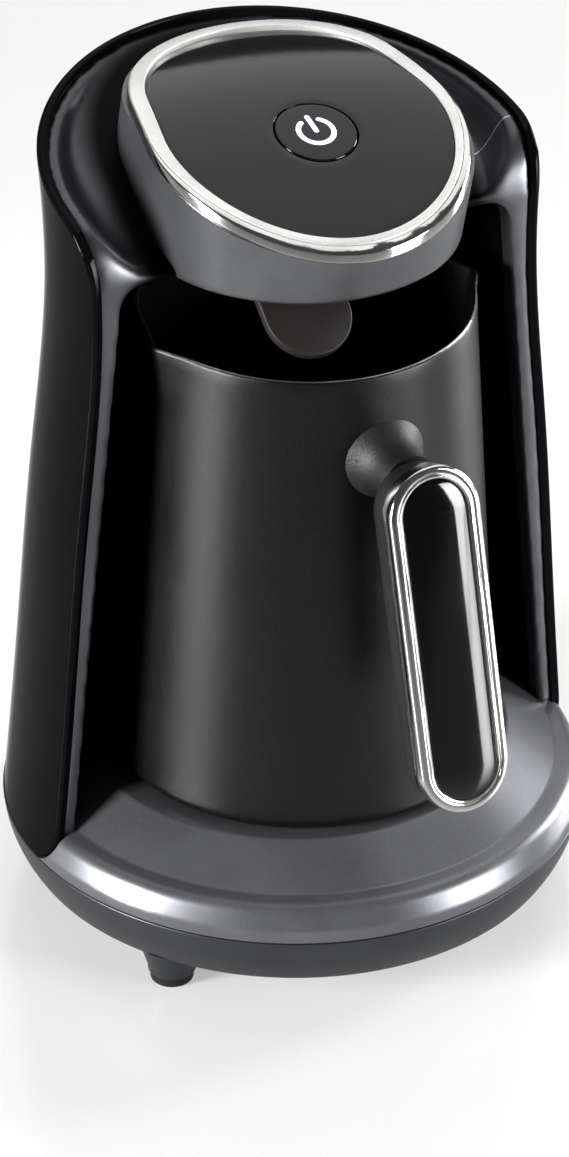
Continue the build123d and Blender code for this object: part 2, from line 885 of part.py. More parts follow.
# ================================================================ head
def make_panel():
    """The crowned panel, its trim ring and the carrier beneath them."""
    hole = button_plane.offset(-board_top)
    with BuildPart() as panel:
        add(panel_prism(0))
        add(under_crown(0), mode=Mode.INTERSECT)
        add(under_crown(panel_t), mode=Mode.SUBTRACT)
        with BuildSketch(hole):
            Circle(button_r + run_gap)
        extrude(amount=board_top + over, mode=Mode.SUBTRACT)
    save(panel.part, "top_panel")

    with BuildPart() as ring:
        add(panel_prism(ring_w))
        add(under_rim(-ring_proud), mode=Mode.INTERSECT)
        add(under_rim(ring_h), mode=Mode.SUBTRACT)
    with BuildPart() as bead:
        add(panel_prism(ring_w + bead_w))
        add(under_rim(bead_drop), mode=Mode.INTERSECT)
        add(under_rim(ring_h), mode=Mode.SUBTRACT)
    with BuildPart() as trim:
        add(ring.part)
        add(bead.part)
        add(panel_prism(0), mode=Mode.SUBTRACT)
    save(trim.part, "trim_ring")

    with BuildPart() as hollow:
        add(panel_prism(-fit - carrier_wall))
        add(under_rim(carrier_depth - carrier_wall), mode=Mode.SUBTRACT)
    with BuildPart() as carrier:
        add(panel_prism(-fit))
        add(under_crown(panel_t), mode=Mode.INTERSECT)
        add(under_rim(carrier_depth), mode=Mode.SUBTRACT)
        add(hollow.part, mode=Mode.SUBTRACT)
        with BuildSketch(button_plane.offset(-board_top - board_t)):
            with Locations(*board_posts):
                Circle(board_post_r)
        extrude(until=Until.NEXT, dir=(0, sin(tilt), -cos(tilt)))
        with BuildSketch(Plane.XY.offset(niche_z + wall)):
            with Locations(*head_screws):
                Circle(boss_r)
        extrude(until=Until.NEXT)
        with BuildSketch(Plane.XY.offset(niche_z)):
            with Locations(*head_screws):
                Circle(screw_r)
        extrude(amount=wall + head_screw_bite + thread_end, mode=Mode.SUBTRACT)
    save(carrier.part, "panel_carrier")
    save(screw_set(head_screws, niche_z, wall + head_screw_bite), "head_screws")


def make_button():
    """The power button with its lit symbol, its spring, and the board that it works on."""
    with BuildPart() as symbol:
        with BuildSketch(button_plane.offset(-button_t)):
            Circle(icon_r)
            Circle(icon_r - icon_w, mode=Mode.SUBTRACT)
            with Locations((0, icon_r)):
                Rectangle(icon_gap, icon_r, mode=Mode.SUBTRACT)
            with Locations((0, icon_r - icon_bar / 2 + icon_w / 2)):
                SlotOverall(icon_bar, icon_w, rotation=90)
        extrude(amount=button_t + over)
        add(under_crown(0), mode=Mode.INTERSECT)
        add(under_crown(icon_depth), mode=Mode.SUBTRACT)
    with BuildPart() as button:
        with BuildSketch(button_plane.offset(-button_t)):
            Circle(button_r)
        extrude(amount=button_t + over)
        add(under_crown(0), mode=Mode.INTERSECT)
        with BuildSketch(button_plane.offset(-button_t)):
            Circle(stem_r)
        extrude(amount=-stem_l)
        add(symbol.part, mode=Mode.SUBTRACT)
    save(button.part, "power_button")
    save(symbol.part, "power_symbol")

    on_board = button_plane.offset(-board_top)
    with BuildPart() as switch:
        with BuildSketch(on_board):
            Rectangle(switch_w, switch_w)
        extrude(amount=switch_h - switch_pin_h)
        with BuildSketch(on_board):
            Circle(switch_pin_r)
        extrude(amount=switch_h)
    save(switch.part, "tact_switch")

    with BuildPart() as board:
        with BuildSketch(on_board):
            RectangleRounded(board_w, board_l, board_corner)
        extrude(amount=-board_t)
    save(board.part, "display_board")

    with BuildPart() as lamps:
        with BuildSketch(on_board):
            with Locations((-lamp_x, 0), (lamp_x, 0)):
                Rectangle(lamp_w, lamp_l)
        extrude(amount=lamp_h)
    save(lamps.part, "indicator_lamps")

    with BuildPart() as spring:
        with BuildSketch(on_board.offset(fit)):
            Circle(spring_r)
            Circle(spring_r - spring_w, mode=Mode.SUBTRACT)
        extrude(amount=board_top - button_t - fit - button_travel - run_gap)
    save(spring.part, "button_spring")

    with BuildPart() as buzzer:
        with BuildSketch(on_board):
            with Locations((buzzer_x, buzzer_y)):
                Circle(buzzer_r)
                Circle(buzzer_hole_r, mode=Mode.SUBTRACT)
        extrude(amount=buzzer_h)
    save(buzzer.part, "buzzer")


# ================================================================ sensor
def make_sensor():
    """The tongue under the head, its window, its small board and its screws."""
    slope = radians(sensor_incline)
    face = Plane(
        (sensor_x, sensor_tip_y, sensor_tip_z),
        x_dir=(1, 0, 0),
        z_dir=(0, -sin(slope), cos(slope)),
    )
    run = (niche_z - sensor_tip_z) / sin(slope) + over
    with BuildPart() as under:
        with BuildSketch(Plane.XY.offset(niche_z)):
            Circle(base_r)
        extrude(amount=-big)
    with BuildPart() as housing:
        with BuildSketch(face.offset(-sensor_t)):
            with Locations((0, sensor_half_w)):
                Circle(sensor_half_w)
            with Locations((0, sensor_half_w + run / 2)):
                Rectangle(2 * sensor_half_w, run)
        extrude(amount=sensor_t)
        add(under.part, mode=Mode.INTERSECT)
        with BuildSketch(face.offset(-sensor_t)):
            with Locations((0, sensor_half_w)):
                Circle(window_r + fit)
        extrude(amount=window_t + fit, mode=Mode.SUBTRACT)
    save(housing.part, "sensor_tongue")
    with BuildPart() as window:
        with BuildSketch(face.offset(-sensor_t)):
            with Locations((0, sensor_half_w)):
                Circle(window_r)
        extrude(amount=window_t)
    save(window.part, "sensor_window")
    with BuildPart() as board:
        with BuildSketch(Plane.XY.offset(niche_z + wall)):
            with Locations((sensor_x, sensor_board_y)):
                Rectangle(sensor_board_w, sensor_board_l)
        extrude(amount=board_t)
    save(board.part, "sensor_board")


# ================================================================ pot
def pot_solid(inset, low_z):
    """The filled form of the pot with its two spouts, taller than the rim."""
    high_z = pot_rim_z + over
    low_r = pot_low_r - inset
    top_r = wall_mid(high_z) - inset
    tip = spout_reach - spout_tip_r
    with BuildPart() as body:
        with BuildSketch(Plane.XZ.offset(-pot_y)):
            with BuildLine():
                FilletPolyline((0, low_z), (low_r, low_z), (top_r, high_z), radius=pot_corner)
                Polyline((top_r, high_z), (0, high_z), (0, low_z))
            make_face()
        revolve(axis=Axis((0, pot_y, 0), (0, 0, 1)))
        for angle in (radians(-spout_turn), radians(180 + spout_turn)):
            with BuildSketch(Plane((0, pot_y, pot_rim_z))):
                Circle(pot_rim_r - inset - run_gap)
                with Locations((tip * cos(angle), tip * sin(angle))):
                    Circle(spout_tip_r - inset / 2)
                make_hull()
            extrude(amount=-spout_h, taper=spout_taper)
            with BuildSketch(Plane((0, pot_y, pot_rim_z))):
                Circle(pot_rim_r - inset - over)
                with Locations((tip * cos(angle), tip * sin(angle))):
                    Circle(spout_tip_r - inset / 2)
                make_hull()
            extrude(amount=over)
    return body.part


def make_pot():
    """The pot, and the disc pressed into its foot."""
    half = base_r
    rise = rim_sag_r - sqrt(rim_sag_r**2 - half**2)
    with BuildPart() as dip:
        with BuildSketch(Plane.XZ):
            with BuildLine():
                left = (-half, pot_rim_z + rise)
                right = (half, pot_rim_z + rise)
                ThreePointArc(left, (0, pot_rim_z), right)
                Polyline(right, (half, 0), (-half, 0), left)
            make_face()
        extrude(amount=big, both=True)
    with BuildPart() as disc:
        with BuildSketch(Plane.XY.offset(pot_z)):
            with Locations((0, pot_y)):
                Circle(disc_r)
        extrude(amount=disc_t)
    with BuildPart() as pot:
        add(pot_solid(0, pot_z))
        add(pot_solid(pot_wall, pot_z + pot_floor_t), mode=Mode.SUBTRACT)
        add(dip.part, mode=Mode.INTERSECT)
        add(disc.part, mode=Mode.SUBTRACT)
    save(pot.part, "pot_body")
    save(disc.part, "pot_disc")


def make_handle():
    """Neck, grip, bright frame, gloss inlay and the screw that holds them."""
    outer = hull_pair(handle_plane, handle_top_r, handle_low_r, handle_half_l)
    top_in = handle_top_r - frame_w
    low_in = handle_low_r - frame_w
    inner = hull_pair(handle_plane, top_in, low_in, handle_half_l - frame_w)
    with BuildPart() as frame:
        extrude(outer, amount=-frame_t)
        extrude(inner, amount=-frame_t, mode=Mode.SUBTRACT)
        chamfer(frame.faces().sort_by(Axis.Y)[0].edges(), edge_break)
    save(frame.part, "handle_frame")

    with BuildPart() as inlay:
        extrude(inner, amount=-frame_t)
        extrude(inner, amount=inlay_proud, taper=inlay_slope)
    save(inlay.part, "handle_inlay")

    back = handle_plane.offset(-frame_t)
    grip_outline = hull_pair(
        back, handle_top_r - grip_inset, handle_low_r - grip_inset, handle_half_l - grip_inset
    )
    back_y = handle_y + (neck_z - handle_z) * tan(lean) + frame_t / cos(lean)
    seat_y = back_y + screw_head_r * tan(lean) + screw_head_h + edge_break
    screw_plane = Plane((0, seat_y, neck_z), x_dir=(1, 0, 0), z_dir=(0, 1, 0))
    with BuildPart() as grip:
        extrude(grip_outline, amount=-grip_t)
        fillet(grip.faces().sort_by(Axis.Y)[-1].edges(), grip_round)
        with BuildSketch(screw_plane):
            Circle(screw_head_r + fit)
        extrude(amount=-over, mode=Mode.SUBTRACT)
        with BuildSketch(screw_plane):
            Circle(screw_r + fit)
        extrude(amount=2 * over, mode=Mode.SUBTRACT)
    save(grip.part, "handle_grip")

    root_y = pot_y - wall_mid(neck_z)
    root_plane = Plane((0, root_y, neck_z), x_dir=(1, 0, 0), z_dir=(0, -1, 0))
    gap = root_y - seat_y
    with BuildPart() as neck:
        with BuildSketch(root_plane.offset(-neck_root_l)):
            Circle(neck_root_r)
        with BuildSketch(root_plane.offset(neck_root_l)):
            Circle(neck_r)
        loft()
        with BuildSketch(root_plane.offset(neck_root_l)):
            Circle(neck_r)
        extrude(amount=gap)
        add(grip_block(grip_outline), mode=Mode.SUBTRACT)
        add(pot_solid(0, pot_z), mode=Mode.SUBTRACT)
        with BuildSketch(screw_plane):
            Circle(screw_r)
        extrude(amount=gap - neck_root_l / 2, mode=Mode.SUBTRACT)
    save(neck.part, "handle_neck")
    with BuildPart() as screw:
        with BuildSketch(screw_plane):
            Circle(screw_head_r)
        extrude(amount=-screw_head_h)
        with BuildSketch(screw_plane):
            Circle(screw_r)
        extrude(amount=gap - neck_root_l)
    save(screw.part, "handle_screw")


def grip_block(outline):
    """The space that the grip and all in front of it takes."""
    with BuildPart() as block:
        extrude(outline, amount=-grip_t)
        extrude(outline, amount=big)
    return block.part


make_base()
make_heater()
make_electrics()
make_housing()
make_panel()
make_button()
make_sensor()
make_pot()
make_handle()
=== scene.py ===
"""Dressed model of an electric Turkish coffee maker: base, hood, head, pot and handle.

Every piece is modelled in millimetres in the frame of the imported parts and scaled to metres
when it is finished. The front is -Y, the right is +X and +Z is up.
"""
from __future__ import annotations

import logging
import math
from collections.abc import Callable, Sequence
from dataclasses import dataclass, field
from enum import Enum

import bpy
from mathutils import Matrix, Vector


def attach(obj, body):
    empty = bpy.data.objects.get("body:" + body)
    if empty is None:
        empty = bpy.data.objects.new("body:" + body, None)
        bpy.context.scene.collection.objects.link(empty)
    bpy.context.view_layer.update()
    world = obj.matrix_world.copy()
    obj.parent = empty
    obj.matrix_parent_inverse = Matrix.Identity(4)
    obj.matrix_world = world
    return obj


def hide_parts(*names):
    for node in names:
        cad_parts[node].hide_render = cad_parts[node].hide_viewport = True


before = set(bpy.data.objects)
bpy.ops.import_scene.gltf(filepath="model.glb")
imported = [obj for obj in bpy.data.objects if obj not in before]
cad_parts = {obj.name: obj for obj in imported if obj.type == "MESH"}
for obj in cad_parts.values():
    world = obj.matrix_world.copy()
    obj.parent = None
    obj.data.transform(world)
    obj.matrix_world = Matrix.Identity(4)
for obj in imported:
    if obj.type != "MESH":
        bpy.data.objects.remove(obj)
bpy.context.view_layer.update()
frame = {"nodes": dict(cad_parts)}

Flat = tuple[float, float]
Spot = tuple[float, float, float]
Piece = bpy.types.Object
Tree = bpy.types.NodeTree
Node = bpy.types.Node
Socket = bpy.types.NodeSocket
MM = 0.001
MERGE_REACH = 0.001
SURFACE = "Principled BSDF"
LOG = logging.getLogger("coffee_maker")


class Body(str, Enum):
    """Bodies that pieces ride on."""

    HOUSING = "housing"
    POT = "pot"
    BUTTON = "button"


class Keep(Enum):
    """Side of a cutting plane that stays."""

    BELOW = "below"
    ABOVE = "above"


# ------------------------------------------------------------------ bench work
def deselect() -> None:
    """Leave edit mode and select nothing."""
    if bpy.context.mode != "OBJECT":
        bpy.ops.object.mode_set(mode="OBJECT")
    bpy.ops.object.select_all(action="DESELECT")


def activate(piece: Piece) -> Piece:
    """Select one piece alone and make it active.

    Args:
        piece: The object to work on.

    Returns:
        The same object.
    """
    deselect()
    piece.select_set(True)
    bpy.context.view_layer.objects.active = piece
    return piece


def edit(piece: Piece) -> None:
    """Open a piece in edit mode with everything selected."""
    activate(piece)
    bpy.ops.object.mode_set(mode="EDIT")
    bpy.ops.mesh.select_all(action="SELECT")


def tidy_mesh(piece: Piece) -> Piece:
    """Merge doubled points and turn the faces outwards.

    Args:
        piece: The object to clean.

    Returns:
        The same object.
    """
    edit(piece)
    bpy.ops.mesh.remove_doubles(threshold=MERGE_REACH)
    bpy.ops.mesh.normals_make_consistent(inside=False)
    bpy.ops.object.mode_set(mode="OBJECT")
    return piece


def loft(name: str, rows: Sequence[Sequence[Spot]], closed: bool = True) -> Piece:
    """A skin over rows of points, shaped from a grid primitive.

    Args:
        name: Name of the piece.
        rows: Rows of equally many points; a row of equal points becomes a pole.
        closed: Whether each row runs back to its first point.

    Returns:
        The lofted object.
    """
    lines = [list(row) + [row[0]] if closed else list(row) for row in rows]
    deselect()
    bpy.ops.mesh.primitive_grid_add(
        x_subdivisions=len(lines[0]) - 1, y_subdivisions=len(lines) - 1, size=1
    )
    piece = bpy.context.object
    piece.name = name
    flat = [value for line in lines for spot in line for value in spot]
    piece.data.vertices.foreach_set("co", flat)
    piece.data.update()
    return tidy_mesh(piece)


def draw_line(name: str, spots: Sequence[Spot]) -> Piece:
    """A chain of edges, drawn by extruding one point.

    Args:
        name: Name of the piece.
        spots: Points along the line.

    Returns:
        The object, left in edit mode with its last point selected.
    """
    deselect()
    bpy.ops.mesh.primitive_plane_add(size=1)
    piece = bpy.context.object
    piece.name = name
    bpy.ops.object.mode_set(mode="EDIT")
    bpy.ops.mesh.select_all(action="SELECT")
    bpy.ops.mesh.merge(type="CENTER")
    bpy.ops.transform.translate(value=spots[0])
    for start, end in zip(spots, spots[1:]):
        step = Vector(end) - Vector(start)
        bpy.ops.mesh.extrude_vertices_move(TRANSFORM_OT_translate={"value": step})
    return piece


def spin(
    name: str,
    profile: Sequence[Flat],
    steps: int = 192,
    centre: Flat = (0.0, 0.0),
    along_y: bool = False,
) -> Piece:
    """A turned piece from a side line of (radius, height) points.

    Args:
        name: Name of the piece.
        profile: Side line; a closed one repeats its first point.
        steps: Segments round the turn.
        centre: Place of the axis: (x, y) of an upright one, (x, z) of one along Y.
        along_y: Turn about an axis along Y, with heights measured along -Y.

    Returns:
        The turned object.
    """
    if along_y:
        spots = [(centre[0] + r, -h, centre[1]) for r, h in profile]
        middle, axis = (centre[0], 0.0, centre[1]), (0.0, 1.0, 0.0)
    else:
        spots = [(centre[0] + r, centre[1], h) for r, h in profile]
        middle, axis = (centre[0], centre[1], 0.0), (0.0, 0.0, 1.0)
    piece = draw_line(name, spots)
    bpy.ops.mesh.select_all(action="SELECT")
    bpy.ops.mesh.spin(steps=steps, angle=math.tau, center=middle, axis=axis)
    return tidy_mesh(piece)


def slice_off(piece: Piece, spot: Spot, normal: Spot, keep: Keep = Keep.BELOW) -> None:
    """Cut a piece at a plane, throw one side away and close the cut.

    Args:
        piece: The object to cut.
        spot: A point of the plane.
        normal: Its normal.
        keep: Which side stays, seen along the normal.
    """
    edit(piece)
    bpy.ops.mesh.bisect(
        plane_co=spot,
        plane_no=normal,
        use_fill=True,
        clear_outer=keep is Keep.BELOW,
        clear_inner=keep is Keep.ABOVE,
    )
    bpy.ops.object.mode_set(mode="OBJECT")


def apply_modifier(piece: Piece, kind: str, **settings: object) -> None:
    """Add one modifier with its settings and apply it.

    Args:
        piece: The object to change.
        kind: Blender's name of the modifier type.
        **settings: Its properties.
    """
    activate(piece)
    modifier = piece.modifiers.new(kind.title(), kind)
    for key, value in settings.items():
        setattr(modifier, key, value)
    bpy.ops.object.modifier_apply(modifier=modifier.name)


def combine(piece: Piece, tool: Piece, operation: str) -> None:
    """Join or cut a piece with a closed tool, which is used up.

    Args:
        piece: The object that stays.
        tool: The other solid.
        operation: UNION, DIFFERENCE or INTERSECT.
    """
    apply_modifier(piece, "BOOLEAN", object=tool, operation=operation, solver="EXACT")
    bpy.data.objects.remove(tool, do_unlink=True)


def copies(piece: Piece, moves: Sequence[Spot]) -> Piece:
    """Repeat a piece at several places and join the copies to one mesh.

    Args:
        piece: The model, standing at the first copy's place once moved.
        moves: Moves from where the model stands.

    Returns:
        One object that holds all copies.
    """
    made = []
    for move in moves:
        twin = piece.copy()
        twin.data = piece.data.copy()
        bpy.context.collection.objects.link(twin)
        edit(twin)
        bpy.ops.transform.translate(value=move)
        bpy.ops.object.mode_set(mode="OBJECT")
        made.append(twin)
    name = piece.name
    bpy.data.objects.remove(piece, do_unlink=True)
    deselect()
    for twin in made:
        twin.select_set(True)
    bpy.context.view_layer.objects.active = made[0]
    bpy.ops.object.join()
    made[0].name = name
    return made[0]


def merge_pieces(name: str, pieces: Sequence[Piece]) -> Piece:
    """Join several objects to one.

    Args:
        name: Name of the result.
        pieces: The objects.

    Returns:
        The joined object.
    """
    deselect()
    for piece in pieces:
        piece.select_set(True)
    bpy.context.view_layer.objects.active = pieces[0]
    bpy.ops.object.join()
    pieces[0].name = name
    return pieces[0]


def round_edges(piece: Piece, width: float, steps: int, angle: float) -> None:
    """Round the sharp edges of a piece.

    Args:
        piece: The object to change.
        width: Width of the round in millimetres.
        steps: Segments of the round.
        angle: Edges sharper than this many degrees are rounded.
    """
    apply_modifier(
        piece,
        "BEVEL",
        width=width,
        segments=steps,
        limit_method="ANGLE",
        angle_limit=math.radians(angle),
    )


def clamp(value: float) -> float:
    """The value, held between 0 and 1."""
    return min(1.0, max(0.0, value))


def ease(share: float) -> float:
    """A share from 0 to 1 with soft ends."""
    return share * share * (3 - 2 * share)


def polar(radius: float, turn: float) -> Flat:
    """Flat point at a distance from the middle, in a direction."""
    return radius * math.cos(turn), radius * math.sin(turn)


def turns_round(count: int) -> list[float]:
    """Directions spread evenly over a full turn."""
    return [math.tau * step / count for step in range(count)]


def rounded(corners: Sequence[Spot], steps: int = 5) -> list[Flat]:
    """A flat line whose corners are turned with arcs.

    Args:
        corners: Points as (a, b, radius of the round there).
        steps: Segments of each arc.

    Returns:
        The points of the rounded line.
    """
    line: list[Flat] = [corners[0][:2]]
    for before, here, after in zip(corners, corners[1:], corners[2:]):
        mid = Vector(here[:2])
        one = (Vector(before[:2]) - mid).normalized()
        two = (Vector(after[:2]) - mid).normalized()
        half = one.angle(two) / 2
        if here[2] <= 0 or half > math.pi / 2 - 0.01:
            line.append(here[:2])
            continue
        centre = mid + (one + two).normalized() * (here[2] / math.sin(half))
        start = mid + one * (here[2] / math.tan(half)) - centre
        end = mid + two * (here[2] / math.tan(half)) - centre
        turn = math.atan2(start.x * end.y - start.y * end.x, start.dot(end))
        for index in range(steps + 1):
            spoke = Matrix.Rotation(turn * index / steps, 2) @ start
            line.append(tuple(centre + spoke))
    line.append(corners[-1][:2])
    return line


def resample(line: Sequence[Flat], count: int) -> list[Flat]:
    """Points evenly spread along a flat line.

    Args:
        line: The line's points.
        count: How many points to give back.

    Returns:
        The new points, with both ends kept.
    """
    run = [0.0]
    for start, end in zip(line, line[1:]):
        run.append(run[-1] + math.dist(start, end))
    made = []
    place = 0
    for index in range(count):
        want = run[-1] * index / (count - 1)
        while place < len(run) - 2 and run[place + 1] < want:
            place += 1
        span = run[place + 1] - run[place] or 1.0
        part = (want - run[place]) / span
        first, last = line[place], line[place + 1]
        made.append(tuple(first[axis] + (last[axis] - first[axis]) * part for axis in (0, 1)))
    return made


# ------------------------------------------------------------------ forms that pieces share
@dataclass(frozen=True)
class Outline:
    """Rounded outline: the hull of two circles on the middle line, seen from above."""

    front_r: float
    front_y: float
    rear_r: float
    rear_y: float
    arc: int = 72
    side: int = 10

    def loop(self, grow: float = 0.0) -> list[Flat]:
        """Points round the outline, moved outwards by a distance.

        Args:
            grow: Move outwards in millimetres.

        Returns:
            Points, counter-clockwise, equally many for every distance.
        """
        lean = math.asin((self.front_r - self.rear_r) / (self.rear_y - self.front_y))
        rear = self._arc(self.rear_r + grow, self.rear_y, lean, math.pi - lean)
        front = self._arc(self.front_r + grow, self.front_y, math.pi - lean, math.tau + lean)
        return rear + self._side(rear[-1], front[0]) + front + self._side(front[-1], rear[0])

    def _arc(self, radius: float, middle: float, start: float, end: float) -> list[Flat]:
        """Points of one circle between two angles."""
        turns = [start + (end - start) * step / self.arc for step in range(self.arc + 1)]
        return [(radius * math.cos(turn), middle + radius * math.sin(turn)) for turn in turns]

    def _side(self, start: Flat, end: Flat) -> list[Flat]:
        """Points of a straight side without its ends."""
        parts = [step / self.side for step in range(1, self.side)]
        return [tuple(a + (b - a) * part for a, b in zip(start, end)) for part in parts]


class SideLine:
    """Smooth side line of the shell, through its measured radii."""

    KNOTS: tuple[Flat, ...] = (
        (27.2, 82.6), (72.0, 78.5), (135.0, 73.1), (193.5, 68.2), (242.0, 70.9),
    )

    def __init__(self) -> None:
        """Work out the bends of a natural spline at the knots."""
        count = len(self.KNOTS)
        self.bends = [0.0] * count
        upper = [0.0] * count
        for index in range(1, count - 1):
            (z0, r0), (z1, r1), (z2, r2) = self.KNOTS[index - 1 : index + 2]
            share = (z1 - z0) / (z2 - z0)
            base = share * self.bends[index - 1] + 2
            self.bends[index] = (share - 1) / base
            slope = (r2 - r1) / (z2 - z1) - (r1 - r0) / (z1 - z0)
            upper[index] = (6 * slope / (z2 - z0) - share * upper[index - 1]) / base
        for index in range(count - 2, -1, -1):
            self.bends[index] = self.bends[index] * self.bends[index + 1] + upper[index]

    def radius(self, height: float) -> float:
        """Outer radius of the shell at a height.

        Args:
            height: Height above the floor.

        Returns:
            The radius.
        """
        place = 0
        while place < len(self.KNOTS) - 2 and height > self.KNOTS[place + 1][0]:
            place += 1
        (z0, r0), (z1, r1) = self.KNOTS[place : place + 2]
        span = z1 - z0
        up, down = (height - z0) / span, (z1 - height) / span
        bend = (down**3 - down) * self.bends[place] + (up**3 - up) * self.bends[place + 1]
        return down * r0 + up * r1 + bend * span**2 / 6


SIDE = SideLine()


@dataclass(frozen=True)
class LipLine:
    """Front and top edge of the shell's opening, seen from the side as (y, z)."""

    front_y: float = -13.3
    front_z: float = 223.6
    rise: float = math.radians(11.5)
    low_z: float = 27.2
    low_r: float = 11.0
    top_r: float = 19.0
    low_end: float = 250.0
    rear_guess: float = 70.0
    rear_tries: int = 20
    rear_gap: float = 0.001

    def top_centre(self, inset: float) -> Flat:
        """Centre of the upper corner's round, for a lip moved inwards."""
        middle = self.front_y + inset + self.top_r
        top = self.front_z - inset + middle * math.tan(self.rise)
        return middle, top - self.top_r / math.cos(self.rise)

    def low_centre(self, inset: float) -> Flat:
        """Centre of the lower corner's round, for a lip moved inwards."""
        return self.front_y + inset + self.low_r, self.low_z + self.low_r

    def arc(self, centre: Flat, radius: float, start: float, end: float, steps: int) -> list[Flat]:
        """Points of a corner's round between two angles in degrees.

        Args:
            centre: Middle of the round.
            radius: Its radius.
            start: First angle.
            end: Last angle.
            steps: Segments.

        Returns:
            The points.
        """
        made = []
        for step in range(steps + 1):
            turn = math.radians(start + (end - start) * step / steps)
            made.append((centre[0] + radius * math.cos(turn), centre[1] + radius * math.sin(turn)))
        return made

    def rear_spot(self, inset: float) -> Flat:
        """Where the top edge meets the shell's back.

        Args:
            inset: Move inwards in millimetres.

        Returns:
            The point.
        """
        depth = self.rear_guess
        for _ in range(self.rear_tries):
            height = self.front_z - inset + depth * math.tan(self.rise)
            depth = SIDE.radius(height) - self.rear_gap
        return depth, self.front_z - inset + depth * math.tan(self.rise)

    def planes(self, inset: float, steps: int = 12) -> list[tuple[Spot, Spot]]:
        """Planes that cut a filled form to the region behind the lip.

        Args:
            inset: Move inwards in millimetres.
            steps: Planes per round corner.

        Returns:
            Pairs of a point and the outward normal.
        """
        tilt = 90 + math.degrees(self.rise)
        corners = (
            (self.top_centre(inset), self.top_r, tilt, 180.0),
            (self.low_centre(inset), self.low_r, 180.0, self.low_end),
        )
        cuts = []
        for (mid_y, mid_z), radius, start, end in corners:
            for step in range(steps + 1):
                turn = math.radians(start + (end - start) * step / steps)
                across, up = math.cos(turn), math.sin(turn)
                spot = (0.0, mid_y + radius * across, mid_z + radius * up)
                cuts.append((spot, (0.0, across, up)))
        return cuts


LIP = LipLine()


@dataclass(frozen=True)
class Crown:
    """Heights of the crowned panel and of the arc that its edge follows."""

    top_z: float = 242.58
    top_y: float = 23.7
    long_r: float = 118.3
    cross_r: float = 291.0
    rim_z: float = 241.6
    rim_y: float = 39.7
    rim_r: float = 198.4

    def height(self, across: float, along: float) -> float:
        """Height of the panel at a place seen from above."""
        middle = self.top_z - self.long_r + math.sqrt(self.long_r**2 - (along - self.top_y) ** 2)
        axis = self.top_z - self.cross_r
        return axis + math.sqrt((middle - axis) ** 2 - across**2)

    def rim(self, along: float) -> float:
        """Height of the panel's edge at a place along Y."""
        return self.rim_z - self.rim_r + math.sqrt(self.rim_r**2 - (along - self.rim_y) ** 2)


CROWN = Crown()
PANEL_LINE = Outline(front_r=39.2, front_y=-5.0, rear_r=35.6, rear_y=12.3)


@dataclass(frozen=True)
class TiltedPlane:
    """A plane with its own x, y and outward directions."""

    origin: Spot
    tilt: float

    def place(self, across: float, along: float, out: float = 0.0) -> Spot:
        """Point of the plane in the object's frame.

        Args:
            across: Distance along X.
            along: Distance up the plane.
            out: Distance off the plane.

        Returns:
            The point.
        """
        sine, cosine = math.sin(self.tilt), math.cos(self.tilt)
        return (
            self.origin[0] + across,
            self.origin[1] + along * cosine - out * sine,
            self.origin[2] + along * sine + out * cosine,
        )

    def on_crown(self, across: float, along: float, lift: float = 0.0) -> Spot:
        """Point of the crowned panel over a point of the plane.

        Args:
            across: Distance along X.
            along: Distance up the plane.
            lift: Distance above the crown.

        Returns:
            The point.
        """
        out = 0.0
        for _ in range(6):
            x, y, z = self.place(across, along, out)
            out += CROWN.height(x, y) - z
        return self.place(across, along, out + lift)


# ------------------------------------------------------------------ shader groups
def srgb(red: float, green: float, blue: float) -> tuple[float, float, float, float]:
    """Scene colour of a screen colour given from 0 to 255."""
    parts = [value / 255 for value in (red, green, blue)]
    made = [p / 12.92 if p <= 0.04045 else ((p + 0.055) / 1.055) ** 2.4 for p in parts]
    return made[0], made[1], made[2], 1.0


def new_node(tree: Tree, kind: str, **settings: object) -> Node:
    """Add a node to a tree.

    Args:
        tree: The nodes it joins.
        kind: Blender's name of the node type.
        **settings: Its properties.

    Returns:
        The node.
    """
    node = tree.nodes.new(kind)
    for key, value in settings.items():
        setattr(node, key, value)
    return node


def preset(node: Node, label: str | int, value: object) -> None:
    """Give one input of a node its own value."""
    node.inputs[label].default_value = value


@dataclass
class GroupBench:
    """Nodes and links of one shader group while it is put together."""

    name: str
    inputs: dict[str, float]
    output: str
    tree: Tree = field(init=False)
    entry: Node = field(init=False)
    exit: Node = field(init=False)

    def __post_init__(self) -> None:
        """Open the group with its named inputs and its one output."""
        self.tree = bpy.data.node_groups.new(self.name, "ShaderNodeTree")
        self._socket("Vector", "INPUT", "NodeSocketVector")
        for label, value in self.inputs.items():
            socket = self._socket(label, "INPUT", "NodeSocketFloat")
            socket.default_value = value
        self._socket(self.output, "OUTPUT", "NodeSocketFloat")
        self.entry = self.add("NodeGroupInput")
        self.exit = self.add("NodeGroupOutput")

    def _socket(self, label: str, way: str, kind: str) -> bpy.types.NodeTreeInterfaceSocket:
        """Give the group one named input or output."""
        return self.tree.interface.new_socket(label, in_out=way, socket_type=kind)

    def add(self, kind: str, **settings: object) -> Node:
        """Add a node of a kind with its properties set."""
        return new_node(self.tree, kind, **settings)

    def feed(self, node: Node, *labels: str) -> None:
        """Join inputs of the group to a node's inputs of the same names."""
        for label in labels:
            self.link(self.entry.outputs[label], node.inputs[label])

    def link(self, source: Socket, target: Socket) -> None:
        """Join an output to an input."""
        self.tree.links.new(source, target)


def grain_group() -> Tree:
    """Fine moulded texture as a height.

    Returns:
        The node group, with inputs Vector, Scale and Roughness.
    """
    bench = GroupBench("fine_grain", {"Scale": 1800.0, "Roughness": 0.6}, "Height")
    noise = bench.add("ShaderNodeTexNoise", noise_dimensions="3D")
    preset(noise, "Detail", 3.0)
    bench.feed(noise, "Vector", "Scale", "Roughness")
    bench.link(noise.outputs["Fac"], bench.exit.inputs["Height"])
    return bench.tree


